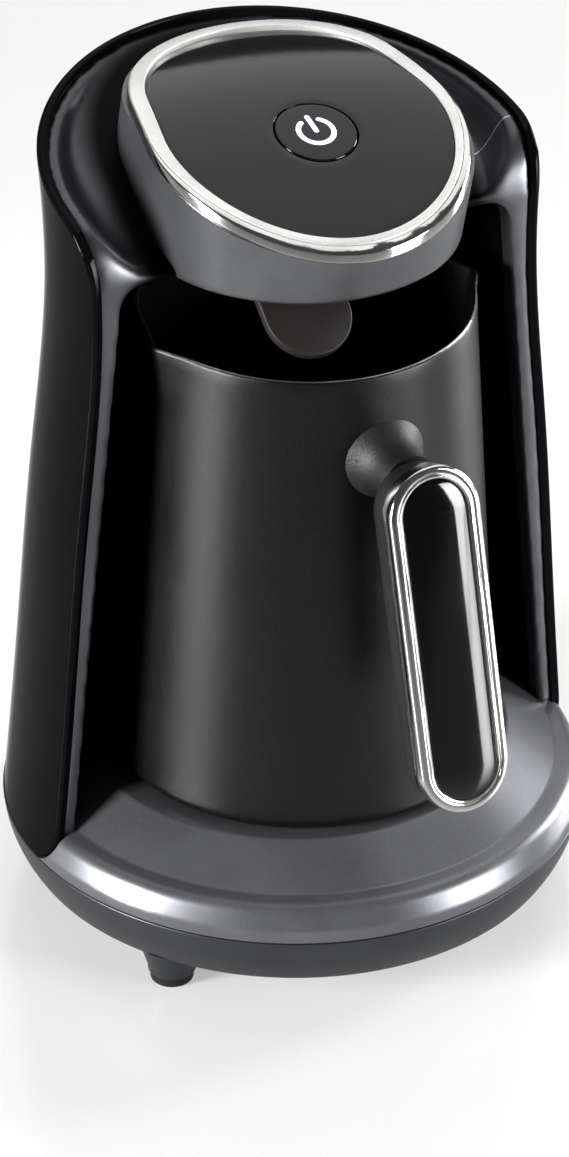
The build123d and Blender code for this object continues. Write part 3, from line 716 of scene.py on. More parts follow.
def fleck_group() -> Tree:
    """Scattered bright specks as a mask.

    Returns:
        The node group, with inputs Vector, Scale, Share and Size.
    """
    bench = GroupBench("flecks", {"Scale": 2200.0, "Share": 0.2, "Size": 0.45}, "Mask")
    cells = bench.add("ShaderNodeTexVoronoi", voronoi_dimensions="3D")
    parts = bench.add("ShaderNodeSeparateColor")
    chosen = bench.add("ShaderNodeMath", operation="LESS_THAN")
    spot = bench.add("ShaderNodeMapRange", interpolation_type="SMOOTHSTEP")
    preset(spot, "To Min", 1.0)
    preset(spot, "To Max", 0.0)
    both = bench.add("ShaderNodeMath", operation="MULTIPLY")
    bench.feed(cells, "Vector", "Scale")
    bench.link(cells.outputs["Color"], parts.inputs["Color"])
    bench.link(parts.outputs[0], chosen.inputs[0])
    bench.link(bench.entry.outputs["Share"], chosen.inputs[1])
    bench.link(cells.outputs["Distance"], spot.inputs["Value"])
    bench.link(bench.entry.outputs["Size"], spot.inputs["From Max"])
    bench.link(chosen.outputs[0], both.inputs[0])
    bench.link(spot.outputs["Result"], both.inputs[1])
    bench.link(both.outputs[0], bench.exit.inputs["Mask"])
    return bench.tree


def handling_group() -> Tree:
    """Slow, cloudy change between two values, as handled plastic has.

    Returns:
        The node group, with inputs Vector, Scale, Low and High.
    """
    bench = GroupBench("handling", {"Scale": 40.0, "Low": 0.3, "High": 0.4}, "Value")
    noise = bench.add("ShaderNodeTexNoise", noise_dimensions="3D")
    preset(noise, "Detail", 5.0)
    span = bench.add("ShaderNodeMapRange")
    preset(span, "From Min", 0.35)
    preset(span, "From Max", 0.65)
    bench.feed(noise, "Vector", "Scale")
    bench.link(noise.outputs["Fac"], span.inputs["Value"])
    bench.link(bench.entry.outputs["Low"], span.inputs["To Min"])
    bench.link(bench.entry.outputs["High"], span.inputs["To Max"])
    bench.link(span.outputs["Result"], bench.exit.inputs["Value"])
    return bench.tree


def ring_group() -> Tree:
    """Concentric marks of a turned face as a height.

    Returns:
        The node group, with inputs Vector, Pitch and Wobble.
    """
    bench = GroupBench("turned_marks", {"Pitch": 900.0, "Wobble": 0.2}, "Height")
    flatten = bench.add("ShaderNodeVectorMath", operation="MULTIPLY")
    preset(flatten, 1, (1.0, 1.0, 0.0))
    length = bench.add("ShaderNodeVectorMath", operation="LENGTH")
    times = bench.add("ShaderNodeMath", operation="MULTIPLY")
    noise = bench.add("ShaderNodeTexNoise", noise_dimensions="1D")
    preset(noise, "Scale", 1.0)
    preset(noise, "Detail", 3.0)
    bench.link(bench.entry.outputs["Vector"], flatten.inputs[0])
    bench.link(flatten.outputs[0], length.inputs[0])
    bench.link(length.outputs["Value"], times.inputs[0])
    bench.link(bench.entry.outputs["Pitch"], times.inputs[1])
    bench.link(times.outputs[0], noise.inputs["W"])
    bench.link(bench.entry.outputs["Wobble"], noise.inputs["Roughness"])
    bench.link(noise.outputs["Fac"], bench.exit.inputs["Height"])
    return bench.tree


GRAIN = grain_group()
FLECKS = fleck_group()
HANDLING = handling_group()
TURNED = ring_group()


# ------------------------------------------------------------------ finishes
CLOUD_SPAN = (0.92, 1.08)
CLOUD_SCALE = 1.7
# Painted highlight colour along the hood's seam.
SEAM_HIGHLIGHT_COLOUR: Spot = (205.0, 205.0, 215.0)
# Painted shade colour, and the sheen that the painted shade lowers to.
SHADE_COLOUR: Spot = (7.0, 7.0, 8.0)
SHADE_SPECULAR = 0.02


@dataclass(frozen=True)
class Finish:
    """A plastic, coating or metal finish with grain, flecks and a handled surface."""

    slot: str
    colour: Spot
    fleck_colour: Spot = (120.0, 120.0, 126.0)
    rough_low: float = 0.35
    rough_high: float = 0.45
    metallic: float = 0.0
    specular: float = 0.5
    edge: Spot = (255.0, 255.0, 255.0)
    grain_scale: float = 1800.0
    grain_depth: float = 0.00002
    fleck_scale: float = 2600.0
    fleck_share: float = 0.0
    handling_scale: float = 35.0
    turned_pitch: float = 0.0
    shade: str = ""
    seam_highlight: tuple[float, float, float] | None = None
    label: str = ""

    def make(self) -> bpy.types.Material:
        """Build the material.

        Returns:
            The material, made once for each finish.
        """
        name = "finish_" + (self.label or self.slot)
        known = bpy.data.materials.get(name)
        if known:
            return known
        material = bpy.data.materials.new(name)
        material.use_nodes = True
        tree = material.node_tree
        shader = tree.nodes[SURFACE]
        place = new_node(tree, "ShaderNodeTexCoord").outputs["Object"]
        preset(shader, "Metallic", self.metallic)
        preset(shader, "Specular IOR Level", self.specular)
        preset(shader, "Specular Tint", srgb(*self.edge))
        self._colour(tree, shader, place)
        self._roughness(tree, shader, place)
        self._relief(tree, shader, place)
        return material

    def _group(self, tree: Tree, group: Tree, place: Socket) -> Node:
        """Place a shared effect in the material and give it the coordinates.

        Args:
            tree: The material's nodes.
            group: The shared effect.
            place: Coordinates on the piece.

        Returns:
            The group's node.
        """
        node = new_node(tree, "ShaderNodeGroup", node_tree=group)
        tree.links.new(place, node.inputs["Vector"])
        return node

    def _blend(self, tree: Tree, before: Node, colour: Spot, share: Socket) -> Node:
        """Lay a colour over the one so far, as much as a socket says.

        Args:
            tree: The material's nodes.
            before: The node that gives the colour so far.
            colour: Screen colour that is laid over it.
            share: How much of it.

        Returns:
            The node that gives the colour.
        """
        after = new_node(tree, "ShaderNodeMix", data_type="RGBA")
        preset(after, "B", srgb(*colour))
        tree.links.new(share, after.inputs["Factor"])
        tree.links.new(before.outputs["Result"], after.inputs["A"])
        return after

    def _colour(self, tree: Tree, shader: Node, place: Socket) -> None:
        """Base colour, clouded a little, with specks, painted shade and a painted seam highlight
        where the finish has them.

        Args:
            tree: The material's nodes.
            shader: The surface.
            place: Coordinates on the piece.
        """
        cloud = self._group(tree, HANDLING, place)
        preset(cloud, "Scale", self.handling_scale * CLOUD_SCALE)
        preset(cloud, "Low", 0.0)
        preset(cloud, "High", 1.0)
        tone = new_node(tree, "ShaderNodeMix", data_type="RGBA")
        base = srgb(*self.colour)[:3]
        for label, share in zip("AB", CLOUD_SPAN):
            preset(tone, label, (*(value * share for value in base), 1.0))
        tree.links.new(cloud.outputs["Value"], tone.inputs["Factor"])
        final = tone
        if self.fleck_share > 0:
            flecks = self._group(tree, FLECKS, place)
            preset(flecks, "Scale", self.fleck_scale)
            preset(flecks, "Share", self.fleck_share)
            final = self._blend(tree, tone, self.fleck_colour, flecks.outputs["Mask"])
        # Painted shade where the piece's attribute says so.
        if self.shade:
            final = self._shaded(tree, final, shader)
        # Painted highlight along a seam where two mouldings meet.
        if self.seam_highlight:
            final = self._seam_highlighted(tree, final, place)
        tree.links.new(final.outputs["Result"], shader.inputs["Base Color"])

    def _seam_highlighted(self, tree: Tree, before: Node, place: Socket) -> Node:
        """A painted highlight: a fine light line where two mouldings meet, at a depth, above a
        height.

        Args:
            tree: The material's nodes.
            before: The node that gives the colour so far.
            place: Coordinates on the piece.

        Returns:
            The node that gives the colour.
        """
        depth, width, low = (value * MM for value in self.seam_highlight)
        axes = new_node(tree, "ShaderNodeSeparateXYZ")
        tree.links.new(place, axes.inputs[0])
        tests = (("Y", "COMPARE", depth), ("X", "GREATER_THAN", 0.0), ("Z", "GREATER_THAN", low))
        mask = None
        for axis, operation, value in tests:
            test = new_node(tree, "ShaderNodeMath", operation=operation)
            tree.links.new(axes.outputs[axis], test.inputs[0])
            preset(test, 1, value)
            preset(test, 2, width / 2)
            if mask is None:
                mask = test.outputs[0]
                continue
            both = new_node(tree, "ShaderNodeMath", operation="MULTIPLY")
            tree.links.new(mask, both.inputs[0])
            tree.links.new(test.outputs[0], both.inputs[1])
            mask = both.outputs[0]
        return self._blend(tree, before, SEAM_HIGHLIGHT_COLOUR, mask)

    def _shaded(self, tree: Tree, before: Node, shader: Node) -> Node:
        """Painted shade: colour and sheen taken down where the piece's own attribute says so.

        Args:
            tree: The material's nodes.
            before: The node that gives the colour so far.
            shader: The surface.

        Returns:
            The node that gives the colour.
        """
        amount = new_node(tree, "ShaderNodeAttribute", attribute_name=self.shade)
        sheen = new_node(tree, "ShaderNodeMapRange")
        preset(sheen, "To Min", self.specular)
        preset(sheen, "To Max", SHADE_SPECULAR)
        tree.links.new(amount.outputs["Fac"], sheen.inputs["Value"])
        tree.links.new(sheen.outputs["Result"], shader.inputs["Specular IOR Level"])
        return self._blend(tree, before, SHADE_COLOUR, amount.outputs["Fac"])

    def _roughness(self, tree: Tree, shader: Node, place: Socket) -> None:
        """Roughness that changes slowly over the surface.

        Args:
            tree: The material's nodes.
            shader: The surface.
            place: Coordinates on the piece.
        """
        handled = self._group(tree, HANDLING, place)
        preset(handled, "Scale", self.handling_scale)
        preset(handled, "Low", self.rough_low)
        preset(handled, "High", self.rough_high)
        tree.links.new(handled.outputs["Value"], shader.inputs["Roughness"])

    def _relief(self, tree: Tree, shader: Node, place: Socket) -> None:
        """Fine grain, or the marks of a turned face, as bump.

        Args:
            tree: The material's nodes.
            shader: The surface.
            place: Coordinates on the piece.
        """
        if self.turned_pitch > 0:
            source = self._group(tree, TURNED, place)
            preset(source, "Pitch", self.turned_pitch)
        else:
            source = self._group(tree, GRAIN, place)
            preset(source, "Scale", self.grain_scale)
        bump = new_node(tree, "ShaderNodeBump")
        preset(bump, "Distance", self.grain_depth)
        tree.links.new(source.outputs["Height"], bump.inputs["Height"])
        tree.links.new(bump.outputs["Normal"], shader.inputs["Normal"])


@dataclass(frozen=True)
class LitFinish(Finish):
    """A translucent symbol lit from behind."""

    glow: Spot = (240.0, 236.0, 255.0)
    strength: float = 1.0

    def make(self) -> bpy.types.Material:
        """Build the material and let it glow.

        Returns:
            The material.
        """
        material = super().make()
        shader = material.node_tree.nodes[SURFACE]
        preset(shader, "Emission Color", srgb(*self.glow))
        preset(shader, "Emission Strength", self.strength)
        return material


@dataclass(frozen=True)
class ClearFinish(Finish):
    """A clear moulded window with a tint."""

    clear: float = 0.85
    bending: float = 1.49

    def make(self) -> bpy.types.Material:
        """Build the material and let light through.

        Returns:
            The material.
        """
        material = super().make()
        shader = material.node_tree.nodes[SURFACE]
        preset(shader, "Transmission Weight", self.clear)
        preset(shader, "IOR", self.bending)
        return material


BASE_CHARCOAL = Finish(
    "base_charcoal", (108, 109, 113), (136, 137, 141), 0.32, 0.38, metallic=0.7,
    specular=0.4, grain_scale=2600, grain_depth=0.00001, fleck_scale=2600, fleck_share=0.3,
)
# Darker copy of the base charcoal: painted shade on the tray, which faces down below the cover.
SHADED_TRAY_CHARCOAL = Finish(
    "base_charcoal", (64, 65, 68), (86, 87, 90), 0.36, 0.42, metallic=0.7, specular=0.4,
    grain_scale=2600, grain_depth=0.00001, fleck_scale=2600, fleck_share=0.3,
    label="shaded_tray_charcoal",
)
# Hood charcoal with painted shade in the hollow round the head and a painted highlight along a
# seam.
HOOD_CHARCOAL = Finish(
    "hood_charcoal", (102, 103, 107), (126, 127, 131), 0.30, 0.36, metallic=0.75,
    specular=0.4, grain_scale=2600, grain_depth=0.00001, fleck_scale=2600, fleck_share=0.3,
    shade="hollow_shade", seam_highlight=(1.3, 0.3, 206.0),
)
SHELL_GLOSS = Finish(
    "shell_gloss", (22, 22, 24), rough_low=0.07, rough_high=0.11, metallic=0.65, specular=0.1,
    edge=(20.0, 20.0, 22.0), grain_scale=60, grain_depth=0.00002, handling_scale=22,
)
NICHE_BLACK = Finish(
    "niche_black", (4, 4, 5), (24, 24, 26), 0.5, 0.6, specular=0.1,
    grain_scale=2200, grain_depth=0.00002, fleck_share=0.03,
)
PANEL_GLOSS = Finish(
    "panel_gloss", (10, 8, 14), rough_low=0.1, rough_high=0.14, specular=0.38,
    grain_scale=60, grain_depth=0.00001, handling_scale=25,
)
RING_SATIN = Finish(
    "bright_trim", (222, 221, 218), (252, 252, 250), 0.36, 0.44, metallic=0.45,
    grain_scale=3000, grain_depth=0.00002, fleck_scale=2200, fleck_share=0.3,
    label="ring_satin",
)
BRIGHT_TRIM = Finish(
    "bright_trim", (214, 213, 211), rough_low=0.08, rough_high=0.14, metallic=1.0,
    grain_scale=90, grain_depth=0.00001, handling_scale=60,
)
BUTTON_GLOSS = Finish(
    "button_gloss", (10, 8, 14), rough_low=0.1, rough_high=0.14, specular=0.38,
    grain_scale=70, grain_depth=0.00001,
)
LIT_SYMBOL = LitFinish(
    "lit_symbol", (214, 210, 240), (250, 250, 255), 0.3, 0.4, grain_scale=1500,
    grain_depth=0.00001, fleck_share=0.05, glow=(226, 222, 250), strength=0.85,
)
POT_COATING = Finish(
    "pot_coating", (5, 5, 6), (36, 36, 38), 0.29, 0.36, specular=0.32,
    grain_scale=2700, grain_depth=0.00006, fleck_scale=2400, fleck_share=0.35,
)
POT_STEEL = Finish(
    "pot_steel", (196, 196, 198), rough_low=0.16, rough_high=0.26, metallic=1.0,
    grain_depth=0.00002, turned_pitch=3500,
)
GRIP_BLACK = Finish(
    "grip_black", (16, 16, 17), (70, 70, 72), 0.45, 0.55, specular=0.4,
    grain_scale=1100, grain_depth=0.00012, fleck_share=0.06,
)
INLAY_GLOSS = Finish(
    "inlay_gloss", (4, 4, 6), rough_low=0.06, rough_high=0.1, specular=0.5,
    grain_scale=70, grain_depth=0.00001,
)
TONGUE_BROWN = Finish(
    "tongue_brown", (30, 27, 26), (52, 48, 46), 0.5, 0.6, specular=0.25,
    grain_scale=1800, grain_depth=0.00001, fleck_share=0.1,
)
RUBBER_BLACK = Finish(
    "rubber_black", (18, 18, 18), (48, 48, 48), 0.72, 0.85, specular=0.3,
    grain_scale=1500, grain_depth=0.0001, fleck_share=0.08,
)
HEATER_METAL = Finish(
    "heater_metal", (96, 96, 99), rough_low=0.28, rough_high=0.4, metallic=1.0,
    grain_depth=0.00006, turned_pitch=2600,
)
SCREW_STEEL = Finish(
    "screw_steel", (168, 168, 170), rough_low=0.22, rough_high=0.34, metallic=1.0,
    grain_scale=900, grain_depth=0.00002,
)
BOARD_GREEN = Finish(
    "board_green", (22, 78, 46), (120, 150, 90), 0.35, 0.48, specular=0.5,
    grain_scale=700, grain_depth=0.00004, fleck_scale=500, fleck_share=0.12,
)
PART_BLACK = Finish(
    "part_black", (22, 22, 23), (64, 64, 66), 0.42, 0.55, grain_scale=1500,
    grain_depth=0.00004, fleck_share=0.05,
)
PART_CREAM = Finish(
    "part_cream", (214, 205, 184), (235, 230, 216), 0.45, 0.58, grain_scale=1300,
    grain_depth=0.00004, fleck_share=0.1,
)
SEAL_SILICONE = Finish(
    "seal_silicone", (58, 58, 60), (84, 84, 86), 0.5, 0.62, specular=0.4,
    grain_scale=1500, grain_depth=0.00006, fleck_share=0.05,
)
WINDOW_CLEAR = ClearFinish(
    "window_clear", (70, 50, 60), rough_low=0.04, rough_high=0.1, grain_scale=80,
    grain_depth=0.000005,
)


def finish_piece(
    piece: Piece, finish: Finish, body: Body, replaced: Sequence[str] = (), angle: float = 40.0
) -> None:
    """Shade a piece, bring it to metres, dress it and hand it to the frame.

    Args:
        piece: The modelled object, in millimetres.
        finish: Its finish.
        body: The body that it rides on.
        replaced: CAD nodes that it stands for.
        angle: Edges sharper than this many degrees stay sharp.
    """
    activate(piece)
    bpy.ops.object.shade_smooth_by_angle(angle=math.radians(angle))
    edit(piece)
    bpy.ops.transform.resize(value=(MM, MM, MM), center_override=(0.0, 0.0, 0.0))
    bpy.ops.object.mode_set(mode="OBJECT")
    piece.data.materials.clear()
    piece.data.materials.append(finish.make())
    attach(piece, body.value)
    if replaced:
        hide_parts(*replaced)
    LOG.info("%s: %d faces on %s", piece.name, len(piece.data.polygons), body.value)


# ------------------------------------------------------------------ base
@dataclass
class Base:
    """Tray on rubber feet, sloped cover, heater plate with its seal, and the cord inlet."""

    base_r: float = 83.0
    seam_z: float = 27.2
    tray_low_r: float = 77.2
    tray_mid_r: float = 81.9
    tray_z: float = 11.4
    wall: float = 2.5
    side_top_z: float = 31.0
    seam_under: float = 0.1
    seam_over: float = 0.2
    shoulder_r: float = 75.5
    shoulder_z: float = 38.0
    seat_r: float = 61.0
    seat_z: float = 47.0
    hole_r: float = 49.5
    plate_r: float = 47.0
    foot_r: float = 6.7
    foot_flare_r: float = 9.2
    foot_ring_r: float = 69.0
    foot_turn: float = math.radians(34.0)
    pad_h: float = 3.0
    screw_spots: tuple[Flat, ...] = ((34.0, -57.0), (65.0, 10.0), (-34.0, -57.0), (-65.0, 10.0))
    well_r: float = 3.1
    well_z: tuple[float, float] = (4.0, 13.2)
    screw_r: float = 1.6
    screw_top_z: float = 18.0
    slot_size: Spot = (2.6, 26.0, 8.0)
    slot_pitch: float = 7.0
    slot_round: float = 1.25
    slots_aside: int = 3
    plate_t: float = 3.0
    probe_r: float = 4.1
    grooves: int = 6
    groove_in: float = 4.0
    groove_pitch: float = 6.4
    groove_half_w: float = 0.5
    groove_deep: float = 0.35
    seal_w: float = 2.45
    seal_fit: float = 0.05
    seal_low: float = 2.4
    seal_drop: float = 0.4
    gland_z: float = 18.8
    gland_r: float = 6.0
    gland_l: float = 11.3
    gland_out: float = 2.3
    gland_neck: float = 0.9
    gland_fit: float = 0.1
    gland_body_l: float = 6.0
    gland_step_l: float = 6.2
    bore_in: float = 13.0
    bore_out: float = 7.0
    flange_r: float = 7.1
    flange_t: float = 1.9
    cord_r: float = 3.7

    def feet(self) -> list[Flat]:
        """Places of the four feet."""
        across = self.foot_ring_r * math.cos(self.foot_turn)
        along = self.foot_ring_r * math.sin(self.foot_turn)
        return [(sx * across, sy * along) for sx in (-1, 1) for sy in (-1, 1)]

    def tray(self) -> None:
        """The tray with its foot stubs, slots, screw wells and inlet hole."""
        top = self.seam_z - self.seam_under
        mid_z = (self.seam_z + self.tray_z) / 2
        line = rounded([
            (0.0, self.tray_z, 0.0),
            (self.tray_low_r, self.tray_z, 2.0),
            (self.tray_mid_r + 0.4, mid_z, 30.0),
            (self.base_r, top, 0.35),
            (self.base_r - self.wall, top, 0.3),
            (self.tray_mid_r - self.wall, mid_z, 20.0),
            (self.tray_low_r - self.wall, self.tray_z + self.wall, 1.5),
            (0.0, self.tray_z + self.wall, 0.0),
        ], 8)
        tray = spin("tray", line)
        stub = spin(
            "stub",
            rounded([
                (0.0, self.pad_h, 0.0),
                (self.foot_r, self.pad_h, 0.4),
                (self.foot_r + 0.2, self.pad_h + 2.2, 6.0),
                (self.foot_flare_r, self.tray_z + 0.9, 0.0),
                (0.0, self.tray_z + 0.9, 0.0),
            ]),
            48,
        )
        stubs = copies(stub, [(x, y, 0.0) for x, y in self.feet()])
        combine(tray, stubs, "UNION")
        combine(tray, self._openings(), "DIFFERENCE")
        finish_piece(tray, SHADED_TRAY_CHARCOAL, Body.HOUSING, ["base_tray"], angle=30)

    def _openings(self) -> Piece:
        """Cutters for the screw wells, the air slots and the cord inlet.

        Returns:
            All cutters as one piece.
        """
        low, high = self.well_z
        well = spin(
            "well",
            [
                (0.0, low),
                (self.well_r, low),
                (self.well_r, high),
                (self.screw_r, high),
                (self.screw_r, self.screw_top_z),
                (0.0, self.screw_top_z),
            ],
            32,
        )
        wells = copies(well, [(x, y, 0.0) for x, y in self.screw_spots])
        deselect()
        bpy.ops.mesh.primitive_cube_add(size=1)
        slot = bpy.context.object
        edit(slot)
        bpy.ops.transform.resize(value=self.slot_size)
        bpy.ops.transform.translate(value=(0.0, 0.0, self.tray_z))
        bpy.ops.object.mode_set(mode="OBJECT")
        round_edges(slot, self.slot_round, 4, 60)
        steps = range(-self.slots_aside, self.slots_aside + 1)
        slots = copies(slot, [(self.slot_pitch * step, 0.0, 0.0) for step in steps])
        near, far = -(self.base_r - self.bore_in), -(self.base_r + self.bore_out)
        bore = spin(
            "bore",
            [(0.0, near), (self.gland_r, near), (self.gland_r, far), (0.0, far)],
            48,
            (0.0, self.gland_z),
            along_y=True,
        )
        return merge_pieces("openings", [wells, slots, bore])

    def pads(self) -> None:
        """Rubber pads with a moulded ring in their soles."""
        edge = self.foot_r - 0.6
        line = rounded([
            (0.0, 0.35, 0.0),
            (2.6, 0.35, 0.2),
            (2.9, 0.0, 0.2),
            (edge - 0.1, 0.0, 0.6),
            (edge, 1.4, 0.4),
            (edge, self.pad_h, 0.2),
            (0.0, self.pad_h, 0.0),
        ], 3)
        pad = copies(spin("pads", line, 48), [(x, y, 0.0) for x, y in self.feet()])
        finish_piece(pad, RUBBER_BLACK, Body.HOUSING, ["rubber_feet"], angle=50)

    def cover(self, shell_band: Piece) -> None:
        """The sloped cover with its round shoulder, cut back round the shell.

        Args:
            shell_band: Closed solid of the shell's wall with its clearance.
        """
        low = self.seam_z + self.seam_over
        line = rounded([
            (self.hole_r, self.seat_z - self.wall, 0.0),
            (self.hole_r, self.seat_z, 0.5),
            (self.seat_r, self.seat_z, 2.5),
            (self.shoulder_r - 0.6, self.shoulder_z + 0.1, 3.0),
            (self.base_r - 2.6, self.shoulder_z - 0.7, 4.6),
            (self.base_r, self.side_top_z, 4.0),
            (self.base_r, low, 0.35),
            (self.base_r - self.wall, low, 0.3),
            (self.base_r - self.wall, self.side_top_z - 0.6, 3.0),
            (self.shoulder_r - 1.2, self.shoulder_z - self.wall, 3.0),
            (self.seat_r - 0.8, self.seat_z - self.wall, 1.0),
            (self.hole_r, self.seat_z - self.wall, 0.0),
        ], 6)
        cover = spin("cover", line, 224)
        combine(cover, shell_band, "DIFFERENCE")
        finish_piece(cover, BASE_CHARCOAL, Body.HOUSING, ["base_cover"], angle=28)

    def heater(self) -> None:
        """The turned heater plate round its probe, and the silicone ring that seals it."""
        under = self.seat_z - self.plate_t
        grooves: list[Spot] = []
        for step in range(self.grooves):
            middle = self.plate_r - self.groove_in - self.groove_pitch * step
            grooves += [
                (middle + self.groove_half_w, self.seat_z, 0.15),
                (middle, self.seat_z - self.groove_deep, 0.15),
                (middle - self.groove_half_w, self.seat_z, 0.15),
            ]
        line = rounded([
            (self.probe_r, under, 0.0),
            (self.plate_r, under, 0.3),
            (self.plate_r, self.seat_z, 0.8),
            *grooves,
            (self.probe_r, self.seat_z, 0.3),
            (self.probe_r, under, 0.0),
        ], 3)
        plate = spin("hot_plate", line, 160)
        finish_piece(plate, HEATER_METAL, Body.HOUSING, ["heater_plate"], angle=25)
        inner, outer = self.plate_r + self.seal_fit, self.plate_r + self.seal_w
        low, high = self.seat_z - self.seal_low, self.seat_z - self.seal_drop
        seal_line = rounded([
            (inner, low, 0.0),
            (outer, low, 0.2),
            (outer, high, 0.9),
            (inner, high, 0.9),
            (inner, low, 0.0),
        ], 4)
        seal = spin("plate_ring", seal_line, 160)
        finish_piece(seal, SEAL_SILICONE, Body.HOUSING, ["plate_seal"], angle=50)

    def inlet(self) -> None:
        """The flanged gland where the cord would enter, at the back."""
        outside = -(self.tray_mid_r + self.gland_out)
        inside = outside + self.gland_l
        behind = outside + self.flange_t
        body_r = self.gland_r - self.gland_fit
        neck_r = self.gland_r - self.gland_neck
        line = rounded([
            (self.cord_r, outside, 0.0),
            (self.flange_r, outside, 0.7),
            (self.flange_r, behind, 0.2),
            (body_r, behind, 0.1),
            (body_r, outside + self.gland_body_l, 0.2),
            (neck_r, outside + self.gland_step_l, 0.2),
            (neck_r, inside, 0.4),
            (self.cord_r, inside, 0.2),
            (self.cord_r, outside, 0.0),
        ], 3)
        gland = spin("inlet", line, 72, (0.0, self.gland_z), along_y=True)
        finish_piece(gland, RUBBER_BLACK, Body.HOUSING, ["cord_gland"])


# ------------------------------------------------------------------ shell and hood
@dataclass
class Shell:
    """Gloss outer shell with its rounded lip, open to the front and the top."""

    wall: float = 3.0
    lip_round: float = 1.3
    lip_break: float = 0.35
    columns: int = 180
    lines: int = 72
    top_steps: int = 160
    spread_r: float = 70.0
    rim_facing: float = 0.55
    rim_low_z: float = 27.6
    band_spread: float = 2.0
    band_wall: float = 5.3
    band_inset: float = -0.35

    def band(self) -> Piece:
        """The wall with its clearance, as a cutter for the cover."""
        return self.sheet("band", self.band_spread, self.band_wall, self.band_inset)

    def sheet(self, name: str, spread: float, wall: float, inset: float = 0.0) -> Piece:
        """A curved wall behind the lip.

        Args:
            name: Name of the piece.
            spread: How far its outer face stands off the shell's side.
            wall: Its thickness.
            inset: How far its lip stands behind the shell's.

        Returns:
            The closed wall.
        """
        left, top = self._edges(inset)
        rows = [
            [self._spot(left, top, row, column, spread) for column in range(self.columns + 1)]
            for row in range(self.lines + 1)
        ]
        piece = loft(name, rows, closed=False)
        apply_modifier(piece, "SOLIDIFY", thickness=wall, offset=self._inward(piece))
        return piece

    def _inward(self, piece: Piece) -> float:
        """Offset that makes Solidify grow towards the axis."""
        face = piece.data.polygons[len(piece.data.polygons) // 2]
        outward = face.normal.x * face.center.x + face.normal.y * face.center.y
        return -1.0 if outward > 0 else 1.0

    def _edges(self, inset: float) -> tuple[list[Flat], list[Flat]]:
        """Left and top boundary of the wall, as (turn from the back, height).

        Args:
            inset: How far the lip stands behind the shell's.

        Returns:
            The left edge from below, and the top edge from left to right.
        """
        tilt = 90 + math.degrees(LIP.rise)
        middle = (180 + tilt) / 2
        low = LIP.arc(LIP.low_centre(inset), LIP.low_r, 270, 180, 16)
        high = LIP.arc(LIP.top_centre(inset), LIP.top_r, 180, middle, 12)
        side = resample(low + high, self.lines + 1)
        rest = LIP.arc(LIP.top_centre(inset), LIP.top_r, middle, tilt, 12)
        rear = LIP.rear_spot(inset)
        steps = self.top_steps
        span = [
            tuple(a + (b - a) * step / steps for a, b in zip(rest[-1], rear))
            for step in range(1, steps + 1)
        ]
        over = [self._turn(spot) for spot in rest + span]
        flat = [(turn * self.spread_r, height) for turn, height in over]
        half = resample(flat, self.columns // 2 + 1)
        top = [(turn / self.spread_r, height) for turn, height in half]
        top[-1] = (0.0, top[-1][1])
        mirrored = [(-turn, height) for turn, height in reversed(top[:-1])]
        return [self._turn(spot) for spot in side], top + mirrored

    def _turn(self, spot: Flat) -> Flat:
        """Turn from the back, and height, of a point of the left lip."""
        share = max(-1.0, min(1.0, spot[0] / SIDE.radius(spot[1])))
        return -math.acos(share), spot[1]

    def _spot(
        self, left: Sequence[Flat], top: Sequence[Flat], row: int, column: int, spread: float
    ) -> Spot:
        """Point of the wall between its four boundaries.

        Args:
            left: Left boundary.
            top: Top boundary.
            row: Place from below.
            column: Place from the left.
            spread: Distance off the shell's side.

        Returns:
            The point.
        """
        up, part = row / self.lines, column / self.columns
        first, last = left[0], left[-1]
        made = []
        for axis, sign in ((0, -1.0), (1, 1.0)):
            west, east = left[row][axis], sign * left[row][axis]
            south = first[axis] + (sign * first[axis] - first[axis]) * part
            north = top[column][axis]
            flat = (1 - up) * south + up * north + (1 - part) * west + part * east
            flat -= (1 - part) * ((1 - up) * first[axis] + up * last[axis])
            flat -= part * sign * ((1 - up) * first[axis] + up * last[axis])
            made.append(flat)
        turn, height = made
        radius = SIDE.radius(height) + spread
        return radius * math.sin(turn), radius * math.cos(turn), height

    def build(self) -> None:
        """The shell with its lip rounded outside and broken inside."""
        piece = self.sheet("shell", 0.0, self.wall)
        self._round_lip(piece)
        finish_piece(piece, SHELL_GLOSS, Body.HOUSING, ["outer_shell"], angle=35)

    def _round_lip(self, piece: Piece) -> None:
        """Select the lip's outer edge, then its inner one, and bevel them.

        Args:
            piece: The shell.
        """
        for outside, width, steps in ((True, self.lip_round, 5), (False, self.lip_break, 2)):
            activate(piece)
            mesh = piece.data
            for items in (mesh.vertices, mesh.edges, mesh.polygons):
                items.foreach_set("select", [False] * len(items))
            rim_faces = self._rim_faces(mesh)
            skins: dict[tuple[int, int], int] = {}
            for face in mesh.polygons:
                if face.index in rim_faces:
                    continue
                for key in face.edge_keys:
                    skins[key] = face.index
            lip_keys = {key for index in rim_faces for key in mesh.polygons[index].edge_keys}
            for edge in mesh.edges:
                face = skins.get(edge.key)
                if face is None or edge.key not in lip_keys:
                    continue
                item = mesh.polygons[face]
                facing = item.normal.x * item.center.x + item.normal.y * item.center.y > 0
                edge.select = facing is outside
            bpy.ops.object.mode_set(mode="EDIT")
            bpy.ops.mesh.select_mode(type="EDGE")
            bpy.ops.mesh.bevel(
                offset=width, segments=steps, profile=0.5, affect="EDGES", clamp_overlap=False
            )
            bpy.ops.mesh.select_mode(type="VERT")
            bpy.ops.object.mode_set(mode="OBJECT")

    def _rim_faces(self, mesh: bpy.types.Mesh) -> set[int]:
        """Faces of the lip: those that look forwards or up, not outwards or inwards.

        Args:
            mesh: The shell's mesh.

        Returns:
            Numbers of the faces.
        """
        found = set()
        for face in mesh.polygons:
            spoke = Vector((face.center.x, face.center.y, 0.0)).normalized()
            facing = abs(face.normal.dot(spoke)) < self.rim_facing
            if facing and face.center.z > self.rim_low_z:
                found.add(face.index)
        return found


